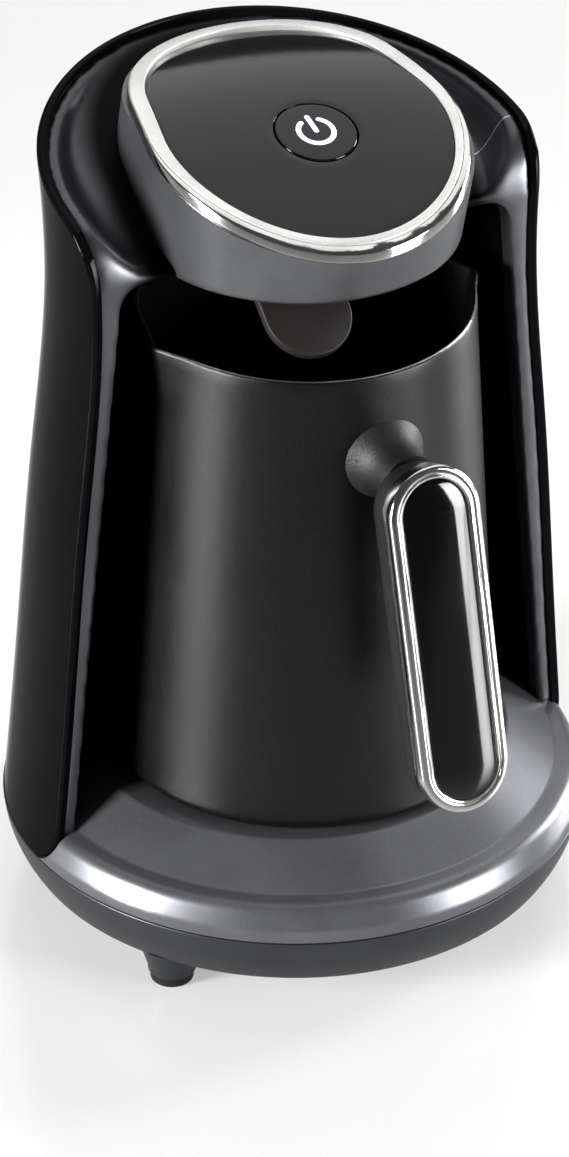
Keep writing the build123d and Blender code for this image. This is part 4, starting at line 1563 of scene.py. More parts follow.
@dataclass
class Hood:
    """Wings, the hollow round the head and the niche, moulded in one piece."""

    gap: float = 2.2
    head_y: float = -5.0
    head_l: float = 23.0
    head_r: float = 43.8
    head_taper: float = 3.0
    # Reach and lowest height of the painted shade round the head, and the fainter painted shade
    # towards the rear.
    shade_reach: float = 13.0
    shade_low: float = 198.0
    rear_shade: float = 0.45
    setback: float = 0.9
    bowl_r: float = 72.0
    bowl_y: float = -4.0
    bowl_z: float = 258.0
    floor_z: float = 207.6
    floor_rise: float = math.radians(20.0)
    niche_y: float = -10.0
    niche_low_r: float = 74.8
    niche_top_r: float = 57.2
    niche_low_z: float = 27.0
    niche_z: float = 204.5
    niche_round: float = 6.5
    lining_gap: float = 0.3
    lining_t: float = 0.3
    lining_y: float = -7.6
    low_z: float = 27.2
    foot_z: float = 36.0
    top_z: float = 243.0
    side_steps: int = 90
    voxel: float = 0.95
    passes: int = 18
    hollow_passes: int = 60
    hollow_from_z: float = 206.5

    def niche_line(self, inset: float) -> list[Flat]:
        """Side line of the niche from its foot to the middle of its ceiling.

        Args:
            inset: Distance behind the niche's wall.

        Returns:
            The line.
        """
        return rounded([
            (self.niche_low_r + inset, self.niche_low_z, 0.0),
            (self.niche_top_r + inset, self.niche_z + inset, self.niche_round),
            (0.0, self.niche_z + inset, 0.0),
        ], 10)

    def build(self) -> None:
        """The hood, with its edges softened as a moulding's are."""
        steps, span = self.side_steps, self.top_z - self.low_z
        heights = [self.low_z + span * step / steps for step in range(steps + 1)]
        side = [(SIDE.radius(height) - self.gap, height) for height in heights]
        body = spin("hood", [(0.0, self.low_z)] + side + [(0.0, self.top_z)], 220)
        for spot, normal in LIP.planes(self.setback):
            slice_off(body, spot, normal)
        slice_off(body, (0.0, 0.0, self.foot_z), (0.0, 0.0, -1.0))
        combine(body, self._bowl(), "DIFFERENCE")
        line = self.niche_line(self.lining_gap)
        low = [(0.0, self.niche_low_z), *line]
        combine(body, spin("niche", low, 200, (0.0, self.niche_y)), "DIFFERENCE")
        apply_modifier(body, "REMESH", mode="VOXEL", voxel_size=self.voxel)
        self._soften(body)
        finish_piece(body, HOOD_CHARCOAL, Body.HOUSING, ["inner_hood"], angle=60)

    def _soften(self, body: Piece) -> None:
        """Even out the moulding, most of all in the hollow, where it is off the shell.

        Args:
            body: The hood.
        """
        # The strip beside the shell, the niche's ceiling and the right front stay crisp.
        hollow = body.vertex_groups.new(name="hollow")
        for vertex in body.data.vertices:
            x, y, z = vertex.co
            inside = SIDE.radius(z) - self.gap - math.hypot(x, y)
            weight = clamp((inside - 3.0) / 5.0) * clamp((z - self.hollow_from_z) / 2.5)
            if x > 0:
                weight *= clamp((y + 6.0) / 8.0)
            if weight > 0:
                hollow.add([vertex.index], weight, "REPLACE")
        apply_modifier(body, "SMOOTH", factor=0.5, iterations=self.passes)
        apply_modifier(
            body, "SMOOTH", factor=0.5, iterations=self.hollow_passes, vertex_group="hollow"
        )
        body.vertex_groups.clear()
        self._shade(body)

    def _shade(self, body: Piece) -> None:
        """Paint shade into the hollow between the head and the rim, darkest near the head, with a
        fainter painted shade towards the rear.

        Args:
            body: The hood.
        """
        shade = body.data.attributes.new("hollow_shade", "FLOAT", "POINT")
        for index, vertex in enumerate(body.data.vertices):
            x, y, z = vertex.co
            along = y - self.head_y
            share = clamp(along / self.head_l)
            away = math.hypot(x, along - self.head_l * share) - self.head_r
            away += self.head_taper * share
            near = clamp(1.35 - away / self.shade_reach)
            high = clamp((z - self.shade_low) / 5.0)
            rear = self.rear_shade * clamp((y + 20.0) / 30.0)
            shade.data[index].value = max(rear, ease(near)) * high

    def _bowl(self) -> Piece:
        """Cutter of the hollow: a ball above a sloping floor.

        Returns:
            The cutter.
        """
        deselect()
        bpy.ops.mesh.primitive_uv_sphere_add(segments=160, ring_count=100, radius=self.bowl_r)
        ball = bpy.context.object
        ball.name = "bowl"
        edit(ball)
        bpy.ops.transform.translate(value=(0.0, self.bowl_y, self.bowl_z))
        bpy.ops.object.mode_set(mode="OBJECT")
        spot = (0.0, LIP.front_y, self.floor_z)
        normal = (0.0, -math.sin(self.floor_rise), math.cos(self.floor_rise))
        slice_off(ball, spot, normal, Keep.ABOVE)
        return ball

    def niche(self) -> None:
        """The dark lining of the niche, set behind the wings' front strip."""
        inner = self.niche_line(0.0)
        outer = self.niche_line(self.lining_gap + 2 * self.lining_t)
        line = inner + outer[::-1] + [inner[0]]
        piece = spin("niche_lining", line, 200, (0.0, self.niche_y))
        slice_off(piece, (0.0, self.lining_y, 0.0), (0.0, -1.0, 0.0))
        slice_off(piece, (0.0, 0.0, self.foot_z), (0.0, 0.0, -1.0))
        finish_piece(piece, NICHE_BLACK, Body.HOUSING, ["niche_liner", "head_floor"], angle=30)


# ------------------------------------------------------------------ head
@dataclass
class Head:
    """Leaning side of the head with the trim ring and the crowned panel on it."""

    line: Outline = Outline(front_r=43.8, front_y=-5.0, rear_r=40.8, rear_y=18.3)
    low_z: float = 204.5
    low_shift: float = 4.65
    lean: float = 0.26
    ring_h: float = 3.3
    narrow_from: float = 14.0
    narrow_to: float = -32.0
    middle_y: float = 5.0
    inside_z: float = 224.0
    edge_h: float = 1.2
    turn_in: float = 4.0
    steps: int = 14
    ring_w: Flat = (4.0, 1.95)
    bead_w: Flat = (4.95, 4.5)

    def side(self) -> None:
        """The head's side, from its lower edge up to the ring."""
        around = len(self.line.loop())
        rows = [[(0.0, self.middle_y, self.low_z)] * around]
        for grow, lift in ((-20.0, 0.0), (-3.0, 0.0), (-1.2, 0.0), (-0.5, 0.16), (-0.12, 0.55)):
            rows.append(self._level_row(grow, lift))
        rows.append(self._level_row(0.0, self.edge_h))
        for step in range(1, self.steps + 1):
            rows.append(self._rise_row(step / self.steps, 0.0))
        rows.append(self._rise_row(1.0, -self.turn_in))
        rows.append([(0.0, self.middle_y, self.inside_z)] * around)
        piece = loft("head_side", rows)
        finish_piece(piece, HOOD_CHARCOAL, Body.HOUSING, angle=35)

    def _level_row(self, grow: float, lift: float) -> list[Spot]:
        """Level row of the head's outline near its lower edge."""
        height = self.low_z + lift
        shift = self._shift(height)
        return [(x, y + shift, height) for x, y in self.line.loop(grow)]

    def _shift(self, height: float) -> float:
        """How far the head's side stands back at a height."""
        return self.low_shift - (height - self.low_z) * self.lean

    def _rise_row(self, part: float, grow: float) -> list[Spot]:
        """Row of the head's side between its lower edge and the ring.

        Args:
            part: Share of the way up.
            grow: Move outwards.

        Returns:
            The row.
        """
        row = []
        low = self.low_z + self.edge_h
        for x, y in self.line.loop(grow):
            height = low
            for _ in range(4):
                top = CROWN.rim(y + self._shift(height)) - self.ring_h + 0.1
                height = low + (top - low) * part
            row.append((x, y + self._shift(height), height))
        return row

    def ring(self) -> None:
        """The satin ring round the panel and the polished bead outside and below it."""
        rear, front = (self._ring_profile(width) for width in self.ring_w)
        face = loft("ring_face", self._rim_rows(rear, front))
        finish_piece(face, RING_SATIN, Body.HOUSING, ["trim_ring"])
        rear, front = (self._bead_profile(*ends) for ends in zip(self.ring_w, self.bead_w))
        bead = loft("ring_bead", self._rim_rows(rear, front))
        finish_piece(bead, BRIGHT_TRIM, Body.HOUSING)

    def _ring_profile(self, width: float) -> list[Flat]:
        """Cross-section of the ring's flat top, as (out, up) from the panel's edge.

        Args:
            width: Width of the flat top.

        Returns:
            The cross-section.
        """
        return rounded([
            (0.02, -3.0, 0.0),
            (0.02, 0.4, 0.28),
            (width, 0.3, 0.3),
            (width, -1.25, 0.0),
            (width - 0.9, -1.25, 0.0),
            (width - 0.9, -3.0, 0.0),
            (0.02, -3.0, 0.0),
        ], 4)

    def _bead_profile(self, inner: float, outer: float) -> list[Flat]:
        """Cross-section of the bead between the ring's flat top and the head's side.

        Args:
            inner: Where the bead starts.
            outer: Where it ends.

        Returns:
            The cross-section.
        """
        return rounded([
            (inner - 1.0, -self.ring_h, 0.0),
            (inner - 0.5, -3.0, 0.0),
            (inner + 0.22, -0.9, 0.0),
            (inner + 0.24, -0.05, 0.12),
            (outer - 0.45, -0.5, 0.7),
            (outer, -self.ring_h + 0.5, 0.5),
            (outer - 0.25, -self.ring_h, 0.15),
            (inner - 1.0, -self.ring_h, 0.0),
        ], 5)

    def _rim_rows(self, rear: Sequence[Flat], front: Sequence[Flat]) -> list[list[Spot]]:
        """Rows round the panel whose cross-section narrows towards the front.

        Args:
            rear: Cross-section at the rear.
            front: Cross-section at the front.

        Returns:
            The rows.
        """
        rows = []
        for (out_rear, up_rear), (out_front, up_front) in zip(rear, front):
            row = []
            wide, narrow = PANEL_LINE.loop(out_rear), PANEL_LINE.loop(out_front)
            for (x0, y0), (x1, y1) in zip(wide, narrow):
                share = (self.narrow_from - y0) / (self.narrow_from - self.narrow_to)
                share = ease(clamp(share))
                x, y = x0 + (x1 - x0) * share, y0 + (y1 - y0) * share
                row.append((x, y, CROWN.rim(y) + up_rear + (up_front - up_rear) * share))
            rows.append(row)
        return rows


@dataclass
class Panel:
    """Crowned gloss panel with its button well, the button and its lit symbol."""

    button_y: float = -9.9
    tilt: float = math.radians(15.8)
    button_r: float = 11.05
    well_r: float = 11.4
    dish_r: float = 13.0
    depth: float = 2.5
    ring_r: float = 4.75
    stroke: float = 0.72
    opening: float = math.radians(33.0)
    bar_low: float = 0.0
    bar_high: float = 5.7
    steps: int = 25
    stem_r: float = 2.4
    stem_l: float = 4.0
    around: int = 96
    ring_steps: int = 60
    bar_steps: int = 20
    cap_steps: int = 8

    def plane(self) -> TiltedPlane:
        """The button's plane on the crown."""
        return TiltedPlane((0.0, self.button_y, CROWN.height(0.0, self.button_y)), self.tilt)

    def face(self) -> None:
        """The panel, with a faint dished ring round the button's well."""
        plane = self.plane()
        edge = PANEL_LINE.loop(-0.06)
        turns = [math.atan2(y - self.button_y, x) for x, y in edge]
        rows = [[self._well(plane, turn, self.well_r, -self.depth) for turn in turns]]
        near = (
            (self.well_r, -0.35), (self.well_r + 0.1, -0.2), (self.well_r + 0.3, -0.12),
            (self.dish_r - 0.35, -0.1), (self.dish_r, -0.02), (self.dish_r + 0.35, 0.0),
        )
        for radius, lift in near:
            rows.append([self._well(plane, turn, radius, lift) for turn in turns])
        inner = rows[-1]
        for step in range(1, self.steps):
            part = step / self.steps
            row = []
            for start, end in zip(inner, PANEL_LINE.loop(-0.4)):
                x = start[0] + (end[0] - start[0]) * part
                y = start[1] + (end[1] - start[1]) * part
                row.append((x, y, CROWN.height(x, y)))
            rows.append(row)
        for grow, lift in ((-0.4, 0.0), (-0.2, -0.06), (-0.06, -0.25), (-0.06, -self.depth)):
            line = PANEL_LINE.loop(grow)
            rows.append([(x, y, CROWN.height(x, y) + lift) for x, y in line])
        rows.append(rows[0])
        piece = loft("panel", rows)
        finish_piece(piece, PANEL_GLOSS, Body.HOUSING, ["top_panel"])

    def _well(self, plane: TiltedPlane, turn: float, radius: float, lift: float) -> Spot:
        """Point of a circle round the button's axis, on the crown or under it."""
        return plane.on_crown(*polar(radius, turn), lift)

    def button(self) -> None:
        """The round button cap with a soft edge and its stem."""
        plane = self.plane()
        turns = turns_round(self.around)
        rim = self.button_r
        rows = [[plane.on_crown(0.0, 0.0)] * self.around]
        line = [(rim * step / 12, 0.0) for step in range(1, 12)]
        line += [(rim - 0.45, 0.0), (rim - 0.2, -0.06), (rim - 0.05, -0.2)]
        line += [(rim, -0.45), (rim, -2.2)]
        for radius, lift in line:
            rows.append([self._well(plane, turn, radius, lift) for turn in turns])
        stem = self.stem_r
        for radius, out in (
            (rim - 0.3, -self.depth), (stem, -self.depth), (stem - 0.2, -2.7),
            (stem - 0.2, -self.stem_l),
        ):
            rows.append([plane.place(*polar(radius, turn), out) for turn in turns])
        rows.append([plane.place(0.0, 0.0, -self.stem_l)] * self.around)
        piece = loft("button_cap", rows)
        finish_piece(piece, BUTTON_GLOSS, Body.BUTTON, ["power_button"], angle=45)

    def symbol(self) -> None:
        """The lit power symbol: an open ring and a bar with round ends."""
        start = math.pi / 2 + self.opening
        sweep = math.tau - 2 * self.opening
        turns = [start + sweep * step / self.ring_steps for step in range(self.ring_steps + 1)]
        ring = [polar(self.ring_r, turn) for turn in turns]
        span = self.bar_high - self.bar_low
        rise = [span * step / self.bar_steps for step in range(self.bar_steps + 1)]
        bar = [(0.0, self.bar_low + up) for up in rise]
        piece = merge_pieces("power_mark", [self._stroke("ring", ring), self._stroke("bar", bar)])
        finish_piece(piece, LIT_SYMBOL, Body.BUTTON, ["power_symbol"], angle=50)

    def _stroke(self, name: str, path: Sequence[Flat]) -> Piece:
        """A stroke with round ends, lying on the button's face.

        Args:
            name: Name of the piece.
            path: Its middle line.

        Returns:
            The stroke.
        """
        plane = self.plane()
        long = self._lengthened(path)
        rows = []
        half = [(1.0, 0.0), (1.0, 0.03), (0.9, 0.05), (0.0, 0.06)]
        other = [(-share, lift) for share, lift in reversed(half[:-1])]
        for share, lift in half + other + [(-1.0, -0.5), (1.0, -0.5), (1.0, 0.0)]:
            row = []
            for index, (spot, width) in enumerate(long):
                ahead = long[min(index + 1, len(long) - 1)][0]
                behind = long[max(index - 1, 0)][0]
                way = (Vector(ahead) - Vector(behind)).normalized()
                side = Vector((-way.y, way.x)) * width * share
                row.append(plane.on_crown(spot[0] + side.x, spot[1] + side.y, lift))
            rows.append(row)
        return loft(name, rows, closed=False)

    def _lengthened(self, path: Sequence[Flat]) -> list[tuple[Flat, float]]:
        """The path with round ends, as points and half widths.

        Args:
            path: Middle line of a stroke.

        Returns:
            Points with the half width at each.
        """
        made = []
        for ends in ((path[0], path[1]), (path[-1], path[-2])):
            way = (Vector(ends[0]) - Vector(ends[1])).normalized()
            caps = []
            for step in range(1, self.cap_steps + 1):
                turn = math.pi / 2 * step / self.cap_steps
                spot = Vector(ends[0]) + way * (self.stroke * math.sin(turn))
                caps.append(((spot.x, spot.y), self.stroke * math.cos(turn)))
            made.append(caps)
        return made[0][::-1] + [(tuple(spot), self.stroke) for spot in path] + made[1]


@dataclass
class Tongue:
    """Sensor tongue that reaches forward and down from the ceiling, with its window."""

    middle: float = -13.9
    half_w: float = 12.3
    tip_y: float = -42.6
    tip_z: float = 190.2
    slope: float = math.radians(40.0)
    thick: float = 3.0
    ceiling_z: float = 204.5
    window_r: float = 4.0
    window_deep: float = 1.2

    def build(self) -> None:
        """The tongue with a bevelled rim and a hole for the window."""
        plane = TiltedPlane((self.middle, self.tip_y, self.tip_z), self.slope)
        turns = [math.pi + math.pi * step / 48 for step in range(49)]
        line = [(self.half_w * math.cos(t), self.half_w * (1 + math.sin(t))) for t in turns]
        length = (self.ceiling_z - self.tip_z) / math.sin(self.slope) + 8.0
        line = [(-self.half_w, length)] + line + [(self.half_w, length)]
        piece = draw_line("tongue", [plane.place(x, y, 0.0) for x, y in line])
        bpy.ops.mesh.select_all(action="SELECT")
        bpy.ops.mesh.edge_face_add()
        down = Vector(plane.place(0.0, 0.0, -self.thick)) - Vector(plane.place(0.0, 0.0, 0.0))
        bpy.ops.mesh.extrude_region_move(TRANSFORM_OT_translate={"value": down})
        bpy.ops.object.mode_set(mode="OBJECT")
        tidy_mesh(piece)
        round_edges(piece, 0.55, 3, 40)
        slice_off(piece, (0.0, 0.0, self.ceiling_z + 0.4), (0.0, 0.0, 1.0))
        combine(piece, self._window_bore(plane), "DIFFERENCE")
        finish_piece(piece, TONGUE_BROWN, Body.HOUSING, ["sensor_tongue"])

    def _window_bore(self, plane: TiltedPlane) -> Piece:
        """Cutter for the window's seat in the underside.

        Args:
            plane: The tongue's plane.

        Returns:
            The cutter.
        """
        turns = turns_round(64)
        r = self.window_r + 0.1
        ends = (-self.thick - 1.0, -self.thick + self.window_deep)
        low, high = ([plane.place(0.0, self.half_w, out)] * 64 for out in ends)
        rows = [
            [plane.place(r * math.cos(t), self.half_w + r * math.sin(t), out) for t in turns]
            for out in ends
        ]
        return loft("window_bore", [low, *rows, high])


# ------------------------------------------------------------------ pot and handle
@dataclass
class Pot:
    """Coated pot with two spouts, a bright line on its rim and a steel disc in its foot."""

    axis_y: float = -4.8
    low_z: float = 47.3
    low_r: float = 55.4
    rim_r: float = 46.3
    rim_z: float = 184.8
    wall: float = 1.6
    floor_t: float = 3.0
    foot_round: float = 5.0
    tip_r: float = 2.6
    reach: float = 49.7
    spout_turn: float = math.radians(8.0)
    spout_taper: float = math.tan(math.radians(8.0))
    dip_r: float = 2500.0
    columns: int = 240
    blend: float = 1.2
    disc_r: float = 43.7
    disc_t: float = 1.4
    foot_line: tuple[Flat, ...] = ((43.9, 1.5), (44.0, 0.2), (44.6, 0.0))
    round_steps: int = 6
    wall_steps: int = 40
    inside_steps: int = 20

    def wall_r(self, height: float) -> float:
        """Outer radius of the plain wall at a height."""
        share = (height - self.low_z) / (self.rim_z - self.low_z)
        return self.low_r + (self.rim_r - self.low_r) * share

    def radius(self, turn: float, height: float, inset: float = 0.0) -> float:
        """Outer radius with the spouts.

        Args:
            turn: Direction from the axis.
            height: Height above the floor.
            inset: Move inwards in millimetres.

        Returns:
            The radius.
        """
        plain = self.wall_r(height) - inset
        drop = max(0.0, self.rim_z - height) * self.spout_taper
        distance = self.reach - self.tip_r
        body = self.rim_r - 0.3
        side = math.acos((body - self.tip_r) / distance)
        reach = 0.0
        for spout in (-self.spout_turn, math.pi + self.spout_turn):
            off = abs(math.remainder(turn - spout, math.tau))
            if off < side:
                flat = body / math.cos(side - off)
                round_tip = distance * math.cos(off) + math.sqrt(
                    max(0.0, self.tip_r**2 - (distance * math.sin(off)) ** 2)
                )
                tip_turn = math.atan2(
                    self.tip_r * math.sin(side), distance + self.tip_r * math.cos(side)
                )
                reach = flat if off > tip_turn else round_tip
        reach -= drop + inset
        over = reach - plain
        if over < -self.blend:
            return plain
        if over > self.blend:
            return reach
        return plain + (over + self.blend) ** 2 / (4 * self.blend)

    def rim_height(self, across: float) -> float:
        """Height of the rim, which dips between the spouts."""
        return self.rim_z + self.dip_r - math.sqrt(self.dip_r**2 - across**2)

    def _round_spot(self, radius: float, turn: float, height: float) -> Spot:
        """Point of a level circle about the pot's axis."""
        return radius * math.cos(turn), self.axis_y + radius * math.sin(turn), height

    def _spot(self, turn: float, height: float, inset: float = 0.0) -> Spot:
        """Point of the wall in a direction."""
        return self._round_spot(self.radius(turn, height, inset), turn, height)

    def _rim_spot(self, turn: float, inset: float, drop: float) -> Spot:
        """Point near the rim, a drop below its line."""
        height = self.rim_height(self._spot(turn, self.rim_z, inset)[0]) - drop
        x, y, _ = self._spot(turn, min(height, self.rim_z), inset)
        return x, y, height

    def _round_angles(self, first: int, sweep: float = math.pi / 2) -> list[float]:
        """Angles of a round's steps, from a first step on."""
        return [sweep * step / self.round_steps for step in range(first, self.round_steps + 1)]

    def _wall_spot(self, turn: float, low: float, share: float, inset: float) -> Spot:
        """Point of the wall a share of the way from a low height up to the rim.

        Args:
            turn: Direction from the axis.
            low: The low height.
            share: Share of the way up.
            inset: Move inwards.

        Returns:
            The point.
        """
        top = self._rim_spot(turn, inset, self.wall / 2)[2]
        height = low + (top - low) * share
        x, y, _ = self._spot(turn, min(height, self.rim_z), inset)
        return x, y, height

    def body(self) -> None:
        """The pot, outside and inside, with a rounded foot and rim."""
        turns = turns_round(self.columns)
        base = self.low_z
        rows = [[(0.0, self.axis_y, base + self.foot_line[0][1])] * self.columns]
        for radius, lift in self.foot_line:
            rows.append([self._round_spot(radius, turn, base + lift) for turn in turns])
        for angle in self._round_angles(0):
            inset = self.foot_round * (1 - math.sin(angle))
            lift = self.foot_round * (1 - math.cos(angle))
            rows.append([self._spot(t, base + lift, inset) for t in turns])
        low = base + self.foot_round
        for step in range(1, self.wall_steps + 1):
            rows.append([self._wall_spot(t, low, step / self.wall_steps, 0.0) for t in turns])
        for angle in self._round_angles(1, math.pi):
            inset = self.wall / 2 * (1 - math.cos(angle))
            drop = self.wall / 2 * (1 - math.sin(angle))
            rows.append([self._rim_spot(t, inset, drop) for t in turns])
        floor = base + self.floor_t
        low = floor + self.foot_round
        for step in range(1, self.inside_steps + 1):
            share = 1 - step / self.inside_steps
            rows.append([self._wall_spot(t, low, share, self.wall) for t in turns])
        for angle in self._round_angles(1):
            inset = self.wall + self.foot_round * (1 - math.cos(angle))
            lift = self.foot_round * (1 - math.sin(angle))
            rows.append([self._spot(t, floor + lift, inset) for t in turns])
        rows.append([(0.0, self.axis_y, floor)] * self.columns)
        piece = loft("pot_shell", rows)
        finish_piece(piece, POT_COATING, Body.POT, ["pot_body"], angle=45)

    def rim(self) -> None:
        """The bare bright line on top of the rim."""
        turns = turns_round(self.columns)
        line = (
            (0.35, 0.16), (0.45, 0.0), (0.8, -0.08), (1.15, 0.0), (1.25, 0.16), (0.8, 0.5),
            (0.35, 0.16),
        )
        rows = [[self._rim_spot(t, inset, drop) for t in turns] for inset, drop in line]
        piece = loft("pot_rim", rows)
        finish_piece(piece, POT_STEEL, Body.POT, angle=60)

    def disc(self) -> None:
        """The turned steel disc in the foot."""
        low, high = self.low_z, self.low_z + self.disc_t
        line = rounded(
            [(0.0, low, 0.0), (self.disc_r, low, 0.4), (self.disc_r, high, 0.1), (0.0, high, 0.0)],
            3,
        )
        piece = spin("pot_foot_disc", line, 120, (0.0, self.axis_y))
        finish_piece(piece, POT_STEEL, Body.POT, ["pot_disc"])


@dataclass
class Handle:
    """Bright frame with a gloss inlay, a textured grip behind it and the neck to the pot."""

    line: Outline = Outline(front_r=13.0, front_y=-35.0, rear_r=13.3, rear_y=34.7, arc=40, side=24)
    face_y: float = -90.3
    face_z: float = 124.3
    lean: float = math.radians(16.5)
    frame_w: float = 3.5
    frame_t: float = 5.5
    grip_t: float = 10.0
    neck_z: float = 160.0
    neck_r: float = 7.5
    root_r: float = 11.5
    flare_l: float = 8.0
    neck_in: float = 14.0
    root_in: float = 0.9
    squash: float = 0.96
    around: int = 64
    spine: Flat = (-36.0, 38.0)
    spine_in: float = 9.0

    def place(self, across: float, along: float, out: float) -> Spot:
        """Point of the handle in the object's frame.

        Args:
            across: Distance along X.
            along: Distance up the handle.
            out: Distance in front of its face.

        Returns:
            The point.
        """
        sine, cosine = math.sin(self.lean), math.cos(self.lean)
        y = self.face_y + along * sine - out * cosine
        return across, y, self.face_z + along * cosine + out * sine

    def _rows(self, profile: Sequence[Flat]) -> list[list[Spot]]:
        """Rows round the handle's outline for a profile of (grow, out)."""
        return [[self.place(x, y, out) for x, y in self.line.loop(grow)] for grow, out in profile]

    def _centre_row(self, out: float) -> list[Spot]:
        """Row that closes a face along the handle's middle line."""
        low, high = self.spine
        heights = [max(low, min(high, y)) for _, y in self.line.loop(-self.spine_in)]
        return [self.place(0.0, height, out) for height in heights]

    def frame(self) -> None:
        """The bright frame with its outer edge rounded and its inner edge stepped."""
        profile = rounded([
            (-2.0, -self.frame_t, 0.0),
            (0.0, -self.frame_t, 0.35),
            (0.0, 0.0, 1.1),
            (-2.1, 0.0, 0.25),
            (-2.35, -0.45, 0.1),
            (-2.75, -0.45, 0.1),
            (-2.9, -0.05, 0.1),
            (-self.frame_w, -0.3, 0.1),
            (-self.frame_w, -self.frame_t, 0.0),
            (-2.0, -self.frame_t, 0.0),
        ], 4)
        piece = loft("handle_rim", self._rows(profile))
        finish_piece(piece, BRIGHT_TRIM, Body.POT, ["handle_frame"])

    def inlay(self) -> None:
        """The crowned gloss inlay inside the frame."""
        edge = -self.frame_w - 0.05
        profile = [
            (edge, -self.frame_t), (edge, -0.5), (edge - 0.08, -0.3), (edge - 0.25, -0.18),
            (edge - 0.8, 0.02), (edge - 1.8, 0.28), (edge - 3.2, 0.5), (edge - 5.0, 0.68),
        ]
        rows = [self._centre_row(-self.frame_t)] + self._rows(profile) + [self._centre_row(0.78)]
        piece = loft("handle_window", rows)
        finish_piece(piece, INLAY_GLOSS, Body.POT, ["handle_inlay"], angle=50)

    def grip(self) -> None:
        """The textured back of the handle."""
        back = -self.frame_t - self.grip_t
        profile = rounded([
            (-1.2, -self.frame_t, 0.0),
            (-1.0, -self.frame_t - 0.6, 0.4),
            (-1.0, back, 4.5),
            (-8.0, back, 0.0),
        ], 7)
        rows = [self._centre_row(-self.frame_t)] + self._rows(profile) + [self._centre_row(back)]
        piece = loft("handle_back", rows)
        finish_piece(piece, GRIP_BLACK, Body.POT, ["handle_grip"], angle=50)

    def neck(self, pot: Pot) -> None:
        """The neck, flared where it meets the pot.

        Args:
            pot: The pot that carries it.
        """
        root_y = pot.axis_y - pot.wall_r(self.neck_z)
        grip_y = self.face_y + (self.neck_z - self.face_z) * math.tan(self.lean) + self.neck_in
        turns = turns_round(self.around)
        flare = ((self.root_r + 0.6, 0.0), (self.root_r, 0.5), (9.6, 2.0), (8.3, 4.0), (7.7, 6.0))
        rows = [[(0.0, root_y + self.root_in, self.neck_z)] * self.around]
        for radius, ahead in flare + ((self.neck_r, self.flare_l),):
            row = []
            for turn in turns:
                x, z = radius * math.cos(turn), self.neck_z + radius * self.squash * math.sin(turn)
                surface = pot.axis_y - math.sqrt(pot.wall_r(z) ** 2 - x * x)
                share = ahead / self.flare_l
                y = (surface + 0.5) * (1 - share) + (root_y - self.flare_l) * share
                row.append((x, y - 0.2 * ahead * (1 - share), z))
            rows.append(row)
        end = [polar(self.neck_r, turn) for turn in turns]
        rows.append([(x, grip_y, self.neck_z + up) for x, up in end])
        rows.append([(0.0, grip_y, self.neck_z)] * self.around)
        piece = loft("neck", rows)
        finish_piece(piece, GRIP_BLACK, Body.POT, ["handle_neck"], angle=50)


# ------------------------------------------------------------------ parts carried over
@dataclass
class CarriedParts:
    """CAD nodes whose shape stays, with the finishes that they get."""

    finishes: tuple[tuple[Finish, tuple[str, ...]], ...] = (
        (SCREW_STEEL, ("handle_screw", "base_screws", "bracket_screws", "board_screws")),
        (SCREW_STEEL, ("head_screws", "heater_bracket")),
        (HEATER_METAL, ("heating_element",)),
        (POT_STEEL, ("temperature_probe",)),
        (BOARD_GREEN, ("main_board", "display_board", "sensor_board")),
        (PART_BLACK, ("relay", "capacitor", "panel_carrier", "tact_switch", "buzzer")),
        (PART_CREAM, ("thermostat", "thermal_fuse", "terminal_block", "head_ribbon")),
        (PART_CREAM, ("indicator_lamps",)),
        (SEAL_SILICONE, ("button_spring",)),
        (WINDOW_CLEAR, ("sensor_window",)),
    )

    def dress(self, nodes: dict[str, Piece]) -> None:
        """Give every carried node its material.

        Args:
            nodes: The CAD nodes by name.
        """
        for finish, name in ((kind, name) for kind, names in self.finishes for name in names):
            node = nodes.get(name)
            if node is None:
                LOG.warning("no node %s", name)
                continue
            node.data.materials.clear()
            node.data.materials.append(finish.make())
            LOG.info("%s: carried over", name)


# ------------------------------------------------------------------ studio
@dataclass(frozen=True)
class Lamp:
    """One soft rectangular lamp, in metres, watts and degrees."""

    name: str
    place: Spot
    size: Flat
    power: float
    aim: Spot = (0.0, 0.0, 0.16)
    spread: float = 50.0

    def hang(self) -> None:
        """Add the lamp to the scene and point it at its aim."""
        data = bpy.data.lights.new(self.name, "AREA")
        data.shape = "RECTANGLE"
        data.size, data.size_y = self.size
        data.energy = self.power
        data.spread = math.radians(self.spread)
        lamp = bpy.data.objects.new(self.name, data)
        bpy.context.collection.objects.link(lamp)
        lamp.location = self.place
        way = Vector(self.aim) - Vector(self.place)
        lamp.rotation_euler = way.to_track_quat("-Z", "Y").to_euler()


